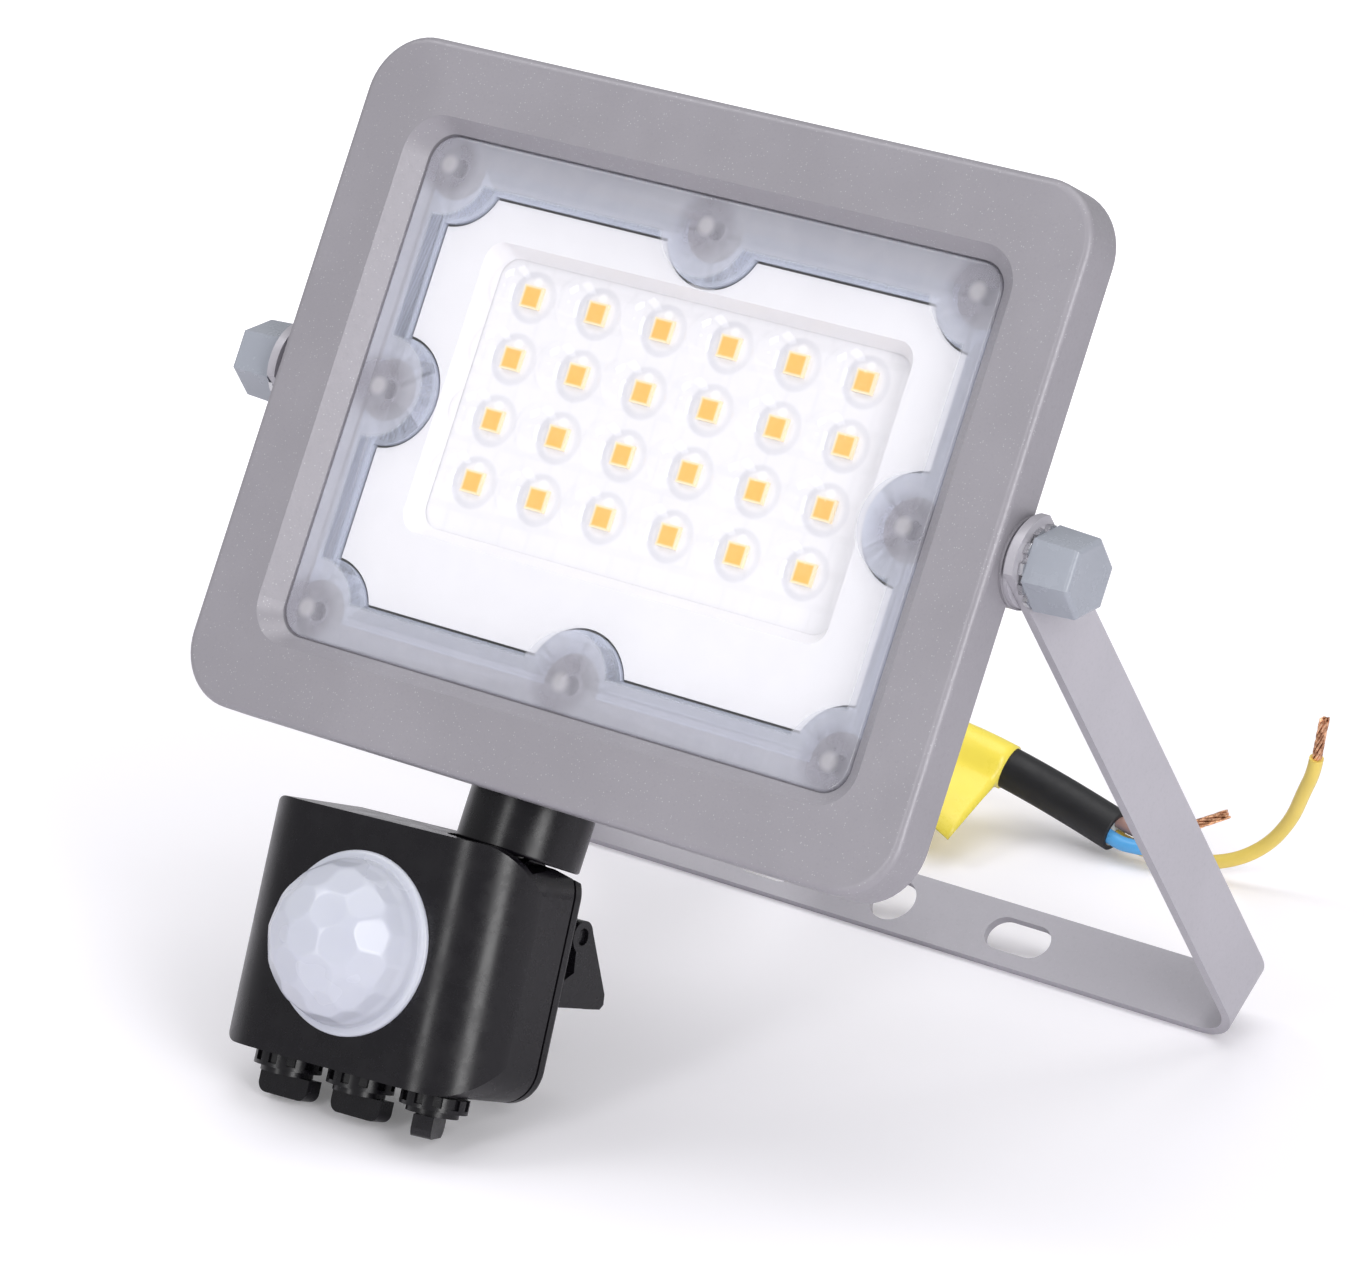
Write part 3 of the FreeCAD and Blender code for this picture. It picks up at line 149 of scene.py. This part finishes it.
def powder_paint(name, base, glint_strength):
    """Fine grey powder coat: faint orange peel, and painted glints as small near-white dots in its colour."""
    k = Look(name)
    broad = k.noise(45, 3)
    fine = k.noise(1900, 2)
    colour = k.mix(k.span(broad, 0.35, 0.65), shade(base, 0.97), shade(base, 1.03))
    # painted glints: a few cells of a fine pattern turned near white
    glint_cells = k.cells(2600)
    near = k.span(glint_cells.outputs["Distance"], 0.12, 0.30, 1.0, 0.0)
    lucky = k.span(k.node("ShaderNodeSeparateColor", {0: glint_cells.outputs["Color"]}).outputs[0], 0.72, 0.96)
    painted_glint = k.math("MULTIPLY", k.math("MULTIPLY", near, lucky), glint_strength)
    colour = k.mix(painted_glint, colour, (0.90, 0.90, 0.93))
    colour = k.mix(k.span(fine, 0.55, 0.75, 0.0, 0.10), colour, shade(base, 0.6))
    rough = k.math("ADD", k.span(fine, 0.3, 0.7, 0.36, 0.46), k.span(broad, 0.3, 0.7, -0.03, 0.03))
    normal = k.bump(k.noise(420, 3), 0.16, 0.0002)
    normal = k.bump(fine, 0.14, 0.00008, normal)
    return k.done(k.surface(Base_Color=colour, Roughness=rough, Metallic=0.12, Normal=normal))


def moulded(name, base, rough=0.3, grain=1600, grain_depth=0.1, peel=0.06, sheen=0.5):
    """Moulded plastic or rubber: colour drift, fine grain, handling marks in the gloss."""
    k = Look(name)
    drift = k.noise(70, 4)
    marks = k.noise(210, 5, 0.7)
    colour = k.mix(drift, shade(base, 0.88), shade(base, 1.12))
    gloss = k.span(marks, 0.35, 0.7, rough * 0.85, rough * 1.2)
    normal = k.bump(k.noise(260, 2), peel, 0.0003)
    normal = k.bump(k.noise(grain, 2), grain_depth, 0.00006, normal)
    return k.done(k.surface(Base_Color=colour, Roughness=gloss, Normal=normal, Specular_IOR_Level=sheen))


def metal(name, base, rough=0.28):
    """Turned metal with fine scratches."""
    k = Look(name)
    lines = k.noise(300, 3, 0.6, (1, 9, 1))
    colour = k.mix(lines, shade(base, 0.85), shade(base, 1.08))
    gloss = k.span(lines, 0.3, 0.7, rough * 0.8, rough * 1.3)
    return k.done(k.surface(Base_Color=colour, Metallic=1.0, Roughness=gloss,
                            Normal=k.bump(lines, 0.12, 0.00005)))


def to_chip(k):
    """Signed distances across and up from the nearest chip's middle."""
    spans = []
    axes = [((1, 0, 0), (0, 0, 0), CHIP_PITCH_X), (LAMP_Y, CHIP_FIELD, CHIP_PITCH_Y)]
    for direction, origin, pitch in axes:
        cell = k.math("FLOORED_MODULO", k.math("ADD", k.along(direction, origin), pitch * 20), pitch)
        spans.append(k.math("SUBTRACT", cell, pitch / 2))
    return spans


def reach(k, a, b):
    return k.math("SQRT", k.math("ADD", k.math("MULTIPLY", a, a), k.math("MULTIPLY", b, b)))


def painted_lens_shade(k, colour):
    """Painted shade and light: a soft grey ring round each chip, stronger on its left (-x) side, standing for
    the shade each low dome of the window throws, and a painted highlight streak above it.
    """
    dx, dy = to_chip(k)
    away = reach(k, dx, dy)
    # painted shade: grey ring round each chip, made stronger towards -x
    ring = k.math("MULTIPLY", k.span(away, 0.0026, 0.0035), k.span(away, 0.0038, 0.0044, 1.0, 0.0))
    ring = k.math("MULTIPLY", ring, k.span(dx, -0.004, 0.004, 0.62, 0.34))
    # painted highlight: light streak just above each chip
    painted_highlight_streak = k.span(reach(k, dx, k.math("SUBTRACT", dy, 0.0024)), 0.0004, 0.0011, 0.8, 0.0)
    across = k.math("ABSOLUTE", k.along((1, 0, 0)))
    high = k.math("ABSOLUTE", k.along(LAMP_Y, CHIP_FIELD))
    edge = k.math("MAXIMUM", k.math("SUBTRACT", across, 0.0370), k.math("SUBTRACT", high, 0.0196))
    inside = k.math("LESS_THAN", edge, 0.0)
    colour = k.mix(k.math("MULTIPLY", ring, inside), colour, (0.60, 0.60, 0.66))
    return k.mix(k.math("MULTIPLY", painted_highlight_streak, inside), colour, (0.97, 0.97, 0.98))


def white_cover():
    """White moulded cover round the chips, with painted shade rings and painted highlight streaks round them.
    """
    k = Look("white_cover")
    colour = k.mix(k.noise(70, 4), (0.80, 0.79, 0.815), (0.86, 0.85, 0.875))
    gloss = k.span(k.noise(210, 5, 0.7), 0.35, 0.7, 0.30, 0.42)
    return k.done(k.surface(Base_Color=painted_lens_shade(k, colour), Roughness=gloss,
                            Normal=k.bump(k.noise(900, 2), 0.03, 0.00006)))


def window_look():
    """Moulded window: clear over the chips, frosted at its border and round its eight pegs."""
    k = Look("window")
    haze = k.noise(160, 3)
    across = k.math("ABSOLUTE", k.along((1, 0, 0), LAMP_CENTRE))
    up = k.math("ABSOLUTE", k.along(LAMP_Y, LAMP_CENTRE))
    to_side = k.math("SUBTRACT", across, PEG_X)
    to_top = k.math("SUBTRACT", up, PEG_Y)

    peg = k.math("MINIMUM", reach(k, across, to_top), reach(k, to_side, up))
    peg = k.math("MINIMUM", peg, reach(k, to_side, to_top))
    rim = k.math("MAXIMUM", k.math("SUBTRACT", across, CLEAR_X), k.math("SUBTRACT", up, CLEAR_Y))
    frost = k.math("MAXIMUM", k.span(rim, -0.0004, 0.0004), k.span(peg, 0.0076, 0.0084, 1.0, 0.0))
    tint = k.mix(k.span(peg, 0.0034, 0.0062), (0.42, 0.41, 0.47), (0.60, 0.605, 0.68))
    tint = k.mix(k.span(peg, 0.0007, 0.0020, 1.0, 0.0), tint, (0.74, 0.72, 0.76))
    tint = k.mix(k.span(haze, 0.35, 0.7, 0.0, 0.25), tint, (0.68, 0.69, 0.75))
    clear = k.node("ShaderNodeBsdfTransparent", {"Color": (0.995, 0.995, 1.0)}).outputs[0]
    shine = {"Color": (1, 1, 1), "Roughness": k.span(haze, 0.3, 0.7, 0.06, 0.14),
             "Normal": k.bump(k.noise(90, 2), 0.05, 0.0004)}
    gloss = k.node("ShaderNodeBsdfAnisotropic", shine).outputs[0]
    milk = k.node("ShaderNodeBsdfDiffuse", {"Color": k.mix(frost, (0.86, 0.88, 0.92), tint)}).outputs[0]
    facing = k.node("ShaderNodeLayerWeight", {"Blend": 0.5}).outputs["Facing"]
    fresnel = k.math("ADD", 0.05, k.math("MULTIPLY", k.math("POWER", facing, 5.0), 0.85))
    cloud = k.math("ADD", k.math("MULTIPLY", frost, 0.42), k.span(haze, 0.3, 0.7, 0.008, 0.025))
    ray = k.node("ShaderNodeLightPath").outputs["Is Shadow Ray"]
    cloud = k.math("MULTIPLY", cloud, k.math("SUBTRACT", 1.0, k.math("MULTIPLY", ray, 0.6)))
    body = k.node("ShaderNodeMixShader", {"Fac": cloud, 1: clear, 2: milk}).outputs[0]
    amount = k.math("MULTIPLY", fresnel, k.math("SUBTRACT", 1.0, ray))
    return k.done(k.node("ShaderNodeMixShader", {"Fac": amount, 1: body, 2: gloss}).outputs[0])


def chip_look():
    """Chip package: warm phosphor square in a thin pale frame."""
    k = Look("chip")
    dx, dy = to_chip(k)
    off = k.math("MAXIMUM", k.math("ABSOLUTE", dx), k.math("ABSOLUTE", dy))
    inside = k.span(off, 0.00125, 0.00165, 1.0, 0.0)
    phosphor = k.mix(k.noise(900, 2), (1.0, 0.47, 0.07), (1.0, 0.55, 0.11))
    colour = k.mix(inside, (0.98, 0.80, 0.52), phosphor)
    return k.done(k.surface(Base_Color=colour, Roughness=0.35, Normal=k.bump(k.noise(1500, 2), 0.1, 0.00005)))


def board_look(name, base, rings=False):
    """Solder mask with faint tracks below it; with rings, painted shade rings and painted highlight streaks
    round the chips.
    """
    k = Look(name)
    bricks = k.node("ShaderNodeTexBrick", {"Vector": k.place, "Scale": 95.0, "Mortar Size": 0.03})
    tracks = bricks.outputs["Fac"]
    colour = k.mix(k.math("MULTIPLY", tracks, 0.25), base, shade(base, 0.8))
    colour = k.mix(k.noise(120, 3), colour, shade(base, 1.05))
    # rings adds the painted shade rings and painted highlight streaks to the colour
    return k.done(k.surface(Base_Color=painted_lens_shade(k, colour) if rings else colour, Roughness=0.3,
                            Normal=k.bump(tracks, 0.1, 0.0001)))


def dome_look():
    """Milky dome with a faint blue cast."""
    k = Look("dome")
    cloud = k.noise(60, 3)
    colour = k.mix(cloud, (0.48, 0.495, 0.575), (0.565, 0.58, 0.65))
    gloss = k.span(cloud, 0.3, 0.7, 0.22, 0.30)
    return k.done(k.surface(Base_Color=colour, Roughness=gloss, Subsurface_Weight=0.25,
                            Subsurface_Radius=(0.003, 0.003, 0.004), Subsurface_Scale=1.0,
                            Normal=k.bump(k.noise(500, 2), 0.04, 0.0001)))


def copper_look():
    """Bare strands: bright copper, darker in places where a fine noise runs low."""
    k = Look("copper")
    lines = k.noise(900, 3, 0.6)
    colour = k.mix(k.span(lines, 0.35, 0.65), (0.38, 0.17, 0.09), (0.98, 0.58, 0.36))
    return k.done(k.surface(Base_Color=colour, Metallic=0.85, Roughness=k.span(lines, 0.3, 0.7, 0.24, 0.42),
                            Normal=k.bump(lines, 0.2, 0.00006)))


def floor_look():
    """Matte white floor; the camera also sees a little glow, so that it fades into the background."""
    k = Look("floor")
    colour = k.mix(k.noise(3, 2), (0.90, 0.88, 0.925), (0.92, 0.90, 0.945))
    matte = k.surface(Base_Color=colour, Roughness=0.6, Specular_IOR_Level=0.2)
    far = k.node("ShaderNodeVectorMath", {0: k.place}, operation="LENGTH").outputs["Value"]
    direct = k.node("ShaderNodeLightPath").outputs["Is Camera Ray"]
    seen = k.math("MULTIPLY", direct, k.span(far, 0.06, 0.42, 0.13, 0.5))
    glow = k.node("ShaderNodeEmission", {"Color": (1, 1, 1), "Strength": seen}).outputs[0]
    return k.done(k.node("ShaderNodeAddShader", {0: matte, 1: glow}).outputs[0])


PAINT = powder_paint("grey_paint", (0.290, 0.277, 0.305), 0.30)
STRIP = powder_paint("strip_paint", (0.425, 0.410, 0.450), 0.10)
BLACK = moulded("gloss_black", (0.0058, 0.0050, 0.0070), rough=0.28, grain=900, grain_depth=0.03, peel=0.03,
                sheen=0.36)
DULL = moulded("dull_black", (0.0062, 0.0055, 0.0075), rough=0.28, sheen=0.36)
RUBBER = moulded("rubber", (0.014, 0.014, 0.016), rough=0.5, grain_depth=0.3, sheen=0.4)
GASKET = moulded("gasket", (0.47, 0.50, 0.60), rough=0.5, grain_depth=0.05)
WHITE = white_cover()
CAP = moulded("cap_plastic", (0.31, 0.328, 0.375), rough=0.25, grain_depth=0.05, peel=0.04)
STEEL = metal("steel", (0.60, 0.60, 0.62))
CAN = metal("can", (0.75, 0.72, 0.66), 0.2)
COPPER = copper_look()
WINDOW = window_look()
CHIP = chip_look()
BOARD = board_look("lamp_board", (0.84, 0.83, 0.855), True)
GREEN = board_look("sensor_board", (0.05, 0.22, 0.10))
DOME = dome_look()
BLUE = moulded("blue_core", (0.10, 0.40, 0.78), rough=0.35)
BROWN = moulded("brown_core", (0.36, 0.22, 0.19), rough=0.35)
YELLOW = moulded("earth_core", (0.82, 0.62, 0.13), rough=0.35)
LINING = moulded("jacket_lining", (0.70, 0.72, 0.74), rough=0.5)
TAG = moulded("tag", (0.98, 0.81, 0.10), rough=0.30, grain_depth=0.03, peel=0.1)
PART_BLUE = moulded("part_blue", (0.05, 0.15, 0.45), rough=0.35)

LOOKS = {
    "housing": PAINT, "bracket": STRIP, "lens_plate": WINDOW, "lens_gasket": GASKET, "reflector_tray": WHITE,
    "led_board": BOARD, "led_chips": CHIP, "driver_chips": DULL, "board_screws": STEEL, "pivot_bolts": STEEL,
    "pivot_washers": STRIP, "tooth_washers": STEEL, "bolt_caps": CAP, "gland_base": DULL, "gland_nut": DULL,
    "gland_seal": RUBBER, "sensor_neck": BLACK, "neck_seal": RUBBER, "neck_nut": DULL, "sensor_shell": BLACK,
    "sensor_seal": RUBBER, "sensor_back_cover": BLACK, "cover_screws": STEEL, "dome_lens": DOME,
    "sensor_board": GREEN, "pir_element": CAN, "relay": PART_BLUE, "capacitor": CAN,
    "potentiometers": PART_BLUE,
    "tilt_pin": STEEL, "lock_pin": DULL, "lock_lever": DULL, "lux_knob": DULL, "time_knob": DULL,
    "sensitivity_knob": DULL, "wire_blue": BLUE, "wire_brown": BROWN,
}
for node, look in LOOKS.items():
    mesh = frame["nodes"][node].data
    mesh.materials.clear()
    mesh.materials.append(look)


def mm(*points):
    return [Vector(p) / 1000 for p in points]


def mesh_object(name, verts, faces, looks, marks=None):
    """Smooth mesh from points and faces; marks names the look of each face where there are several."""
    mesh = bpy.data.meshes.new(name)
    mesh.from_pydata([tuple(v) for v in verts], [], faces)
    for look in looks:
        mesh.materials.append(look)
    for poly in mesh.polygons:
        poly.use_smooth = True
        if marks:
            poly.material_index = marks[poly.index]
    obj = bpy.data.objects.new(name, mesh)
    bpy.context.collection.objects.link(obj)
    return obj


# Cable, tag and cores

def nurbs(name, points, radius, look, resolution=10):
    """Round cord that follows its control points with endpoints met."""
    curve = bpy.data.curves.new(name, "CURVE")
    curve.dimensions = "3D"
    spline = curve.splines.new("NURBS")
    spline.points.add(len(points) - 1)
    for point, where in zip(spline.points, points):
        point.co = (*where, 1)
    spline.order_u = 3
    spline.use_endpoint_u = True
    curve.resolution_u = resolution
    curve.bevel_depth = radius
    curve.bevel_resolution = 6
    curve.use_fill_caps = True
    curve.materials.append(look)
    obj = bpy.data.objects.new(name, curve)
    bpy.context.collection.objects.link(obj)
    return obj


def centreline(obj):
    """Points of a curve's own line, in metres."""
    depth = obj.data.bevel_depth
    obj.data.bevel_depth = 0
    bpy.context.view_layer.update()
    graph = bpy.context.evaluated_depsgraph_get()
    line = bpy.data.meshes.new_from_object(obj.evaluated_get(graph))
    points = [v.co.copy() for v in line.vertices]
    bpy.data.meshes.remove(line)
    obj.data.bevel_depth = depth
    return points


def tangents(path):
    ends = [path[0]] + path + [path[-1]]
    return [(ends[i + 2] - ends[i]).normalized() for i in range(len(path))]


def rows_to_faces(rows, parts):
    """Quads between closed rows of points that follow each other."""
    faces = []
    for low in range(0, (rows - 1) * parts, parts):
        for k in range(parts):
            after = (k + 1) % parts
            faces.append((low + k, low + after, low + parts + after, low + parts + k))
    return faces


CABLE = mm((-27.0, 2.716, 60.857), (-27.0, 25.345, 48.054), (-33, 51.2, 36.9), (-35.5, 76.7, 26.2),
           (-25.7, 93.8, 18.0), (-8.7, 103.7, 10.9), (13.0, 103.0, 4.8))
EARTH = mm((12.618, 103.888, 3.341), (15.313, 103.801, 2.583), (20.3, 104.0, 2.2), (27.5, 104.4, 2.3),
           (35.3, 104.9, 4.5), (41.5, 105.4, 8.8), (46.6, 104.1, 15.3), (50.2, 101.4, 22.0),
           (52.8, 99.8, 26.5), (53.6, 99.2, 29.5))
CABLE_R = 0.0036
CORE_R = 0.0012
BUNDLE_R = 0.00085
BUNDLE_L = 0.0085


def ring_rows(path, profile, parts):
    """Rows of a round tube along path; profile adds rows at its far end as (radius, step back)."""
    along = tangents(path)
    side = along[0].cross(Vector((0, 0, 1))).normalized()
    rows = []
    for i, (where, out) in enumerate(zip(path, along)):
        side = (side - out * side.dot(out)).normalized()
        up = out.cross(side)
        last = i == len(path) - 1
        for radius, back in (profile if last else [(profile[0][0], 0.0)]):
            rows.append([where - out * back + (side * math.cos(a) + up * math.sin(a)) * radius
                         for a in (2 * math.pi * k / parts for k in range(parts))])
    return rows


def cable_path():
    curve = nurbs("cable_line", CABLE, CABLE_R, RUBBER, 16)
    path = centreline(curve)
    bpy.data.objects.remove(curve)
    return path


def supply_cable(path):
    """Cable jacket with a cut end, as a mesh between the lamp and the bracket."""
    parts = 40
    end = [(CABLE_R, 0.0), (CABLE_R, -0.0004), (CABLE_R - 0.00012, -0.0005), (CABLE_R - 0.00075, -0.0005),
           (CABLE_R - 0.00085, -0.0004), (CABLE_R - 0.0009, 0.0001), (0.0004, 0.0001)]
    rows = ring_rows(path, end, parts)
    verts = [v for row in rows for v in row]
    faces = rows_to_faces(len(rows), parts)
    marks = [1 if f // parts >= len(rows) - 3 else 0 for f in range(len(faces))]
    faces += [tuple(reversed(range(parts))), tuple(range(len(verts) - parts, len(verts)))]
    cable = mesh_object("cable_jacket", verts, faces, [RUBBER, LINING], marks + [0, 1])
    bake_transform(cable)
    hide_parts("supply_cable")
    return cable


def cable_tag(path):
    """Yellow tape folded round the jacket, its two ends stuck together as a flap."""
    start = CABLE[4] + (CABLE[3] - CABLE[4]) * 0.40
    end = CABLE[5] + Vector((0.0006, -0.0006, 0.0008))
    first = min(range(len(path)), key=lambda i: (path[i] - start).length)
    last = min(range(len(path)), key=lambda i: (path[i] - end).length)
    part = path[first:last + 1]
    along = tangents(path)[first:last + 1]
    outer = CABLE_R + 0.00036
    profile = [(0.00022, 0.0140), (0.00024, 0.0100), (0.00030, 0.0062), (0.00062, 0.0051), (0.00135, 0.00415)]
    turns = [math.radians(d) for d in range(24, 337, 12)]
    rows = []
    for i, (where, out) in enumerate(zip(part, along)):
        down = Vector((-0.11, -0.97, -0.20))
        down = (down - out * down.dot(out)).normalized()
        thick = out.cross(down)
        share = i / (len(part) - 1)
        droop = 0.85 + 0.65 * share
        row = [where + thick * x + down * (y * droop if y > 0.0052 else y) for x, y in profile]
        row += [where + (thick * math.sin(a) + down * math.cos(a)) * outer for a in turns[1:-1]]
        row += [where - thick * x + down * (y * droop if y > 0.0052 else y) for x, y in reversed(profile)]
        rows.append(row)
    parts = len(rows[0])
    verts = [v for row in rows for v in row]
    faces = rows_to_faces(len(rows), parts)
    faces += [tuple(reversed(range(parts))), tuple(range(len(verts) - parts, len(verts)))]
    tag = mesh_object("cable_tag_folded", verts, faces, [TAG])
    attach(tag, "bracket_body")
    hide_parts("cable_tag")
    return tag


def earth_core():
    core = nurbs("earth_core", EARTH, CORE_R, YELLOW)
    path = centreline(core)
    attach(core, "bracket_body")
    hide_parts("wire_earth")
    return core


def strand_bundle(name, start, out):
    """Twisted bare strands with gaps between them, each splayed a little at its tip."""
    side = out.orthogonal().normalized()
    up = out.cross(side)
    curve = bpy.data.curves.new(name, "CURVE")
    curve.dimensions = "3D"
    curve.bevel_depth = 0.00021
    curve.bevel_resolution = 3
    curve.use_fill_caps = True
    curve.materials.append(COPPER)
    for i in range(12):
        inner = i < 4
        ring = BUNDLE_R * (0.30 if inner else 0.74)
        base = 2 * math.pi * i / (4 if inner else 8) + random.uniform(-0.12, 0.12)
        full = BUNDLE_L * random.uniform(0.93, 1.0)
        splay = random.uniform(0.0, 0.07)
        spline = curve.splines.new("POLY")
        steps = 24
        spline.points.add(steps)
        for k in range(steps + 1):
            u = k / steps
            turn = base + 3.4 * u
            spread = ring * (1 + splay * u * u + 0.05 * math.sin(9 * u + i))
            off = side * (spread * math.cos(turn)) + up * (spread * math.sin(turn))
            spline.points[k].co = (*(start + out * (full * u) + off), 1)
    obj = bpy.data.objects.new(name, curve)
    bpy.context.collection.objects.link(obj)
    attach(obj, "bracket_body")
    return obj


# Sensor dome

def in_head(x, y, z):
    """Point of the sensor's own frame, in mm from its tilt pin."""
    return TILT_PIN + (HEAD_X * x + HEAD_Y * y + HEAD_Z * z) / 1000


def lens_cells():
    """Centres of the dome's lens cells: rings of hexagons round the crown."""
    centres = [Vector((0, 0, 1))]
    for count, slope, turn in ((6, 26, 0), (12, 50, 15), (16, 73, 4)):
        for i in range(count):
            a = math.radians(turn) + 2 * math.pi * i / count
            s = math.radians(slope)
            centres.append(Vector((math.sin(s) * math.cos(a), math.sin(s) * math.sin(a), math.cos(s))))
    return centres


def sensor_dome():
    """Dome of nearly flat lens cells, with a round flange on the sensor's face."""
    radius = 12.9
    cx, cy, cz = -15.25, -13.15, 14.8
    rings, parts = 60, 150
    centres = lens_cells()
    verts = []
    for r, z in ((14.1, 0.0), (14.1, 0.3), (13.95, 0.6), (13.6, 0.76), (13.1, 0.8)):
        for k in range(parts):
            t = 2 * math.pi * k / parts
            verts.append(in_head(cx + r * math.cos(t), cy + r * math.sin(t), cz + z))
    first = math.asin(0.85 / radius)
    for i in range(rings + 1):
        rise = first + (math.pi / 2 - first) * i / rings
        for k in range(parts):
            t = 2 * math.pi * k / parts
            d = Vector((math.cos(rise) * math.cos(t), math.cos(rise) * math.sin(t), math.sin(rise)))
            near = max(d.dot(c) for c in centres)
            ease = min(1.0, max(0.0, (rise - 0.16) / 0.12))
            r = radius - 0.02 - ease * max(0.0, radius - 0.02 - (radius - 0.34) / near)
            verts.append(in_head(cx + r * d.x, cy + r * d.y, cz + r * d.z))
    dome = mesh_object("dome_cells", verts, rows_to_faces(5 + rings + 1, parts), [DOME])
    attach(dome, "sensor_head")
    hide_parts("dome_lens")
    return dome


BLUE_END = mm((19.3, 101.5, 3.7), (22.5, 102.4, 4.0))
BROWN_END = mm((21.6, 105.5, 5.5), (23.7, 106.8, 6.5))
ENDS = {"strands_blue": BLUE_END, "strands_brown": BROWN_END, "strands_earth": EARTH[-2:]}
bundles = [strand_bundle(name, points[-1], (points[-1] - points[-2]).normalized())
           for name, points in ENDS.items()]
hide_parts("copper_strands")
route = cable_path()
supply_cable(route)
cable_tag(route)
earth_core()
sensor_dome()


# Floor, camera and light

def area_light(name, where, target, width, height, power):
    data = bpy.data.lights.new(name, "AREA")
    data.shape = "RECTANGLE"
    data.size = width
    data.size_y = height
    data.energy = power
    obj = bpy.data.objects.new(name, data)
    obj.location = where
    obj.rotation_mode = "QUATERNION"
    obj.rotation_quaternion = (Vector(target) - Vector(where)).to_track_quat("-Z", "Y")
    bpy.context.collection.objects.link(obj)
    return obj


def stage():
    mesh = bpy.data.meshes.new("floor")
    edge = 6.0
    corners = [(-edge, -edge, 0), (edge, -edge, 0), (edge, edge, 0), (-edge, edge, 0)]
    mesh.from_pydata(corners, [], [(0, 1, 2, 3)])
    mesh.materials.append(floor_look())
    floor = bpy.data.objects.new("floor", mesh)
    bpy.context.collection.objects.link(floor)
    world = bpy.data.worlds.new("white_room")
    bpy.context.scene.world = world
    world.use_nodes = True
    tree = world.node_tree
    tree.nodes.clear()
    ray = tree.nodes.new("ShaderNodeLightPath")
    seen = tree.nodes.new("ShaderNodeBackground")
    seen.inputs["Color"].default_value = (1, 1, 1, 1)
    seen.inputs["Strength"].default_value = 1.0
    lit = tree.nodes.new("ShaderNodeBackground")
    lit.inputs["Color"].default_value = (0.98, 0.99, 1.0, 1)
    lit.inputs["Strength"].default_value = 0.42
    mix = tree.nodes.new("ShaderNodeMixShader")
    out = tree.nodes.new("ShaderNodeOutputWorld")
    tree.links.new(ray.outputs["Is Camera Ray"], mix.inputs["Fac"])
    tree.links.new(lit.outputs[0], mix.inputs[1])
    tree.links.new(seen.outputs[0], mix.inputs[2])
    tree.links.new(mix.outputs[0], out.inputs["Surface"])


def camera():
    data = bpy.data.cameras.new("camera")
    data.lens = 171.41
    data.sensor_width = 36.0
    data.clip_start = 0.05
    data.clip_end = 20.0
    obj = bpy.data.objects.new("camera", data)
    ahead = Vector((-0.5592, 0.7423, -0.3693)).normalized()
    up = Vector((-0.2285, 0.2902, 0.9293))
    right = ahead.cross(up).normalized()
    up = right.cross(ahead).normalized()
    where = PIVOT + Vector((0.5530, -0.7268, 0.3348))
    obj.matrix_world = Matrix.Translation(where) @ Matrix((right, up, -ahead)).transposed().to_4x4()
    bpy.context.collection.objects.link(obj)
    bpy.context.scene.camera = obj


stage()
camera()
area_light("key", (-0.73, -0.31, 1.13), (0, 0, 0.09), 0.45, 0.45, 3.2)
area_light("top", (0.1, 0.2, 1.3), (0, 0, 0.05), 1.0, 1.0, 6.0)
area_light("strip_front", (-0.15, -1.12, 0.5), (0, 0, 0.08), 0.20, 1.0, 3.6)
area_light("strip_right", (1.02, -0.50, 0.5), (0, 0, 0.08), 0.34, 1.0, 8.6)

bpy.context.scene.view_settings.view_transform = "Standard"
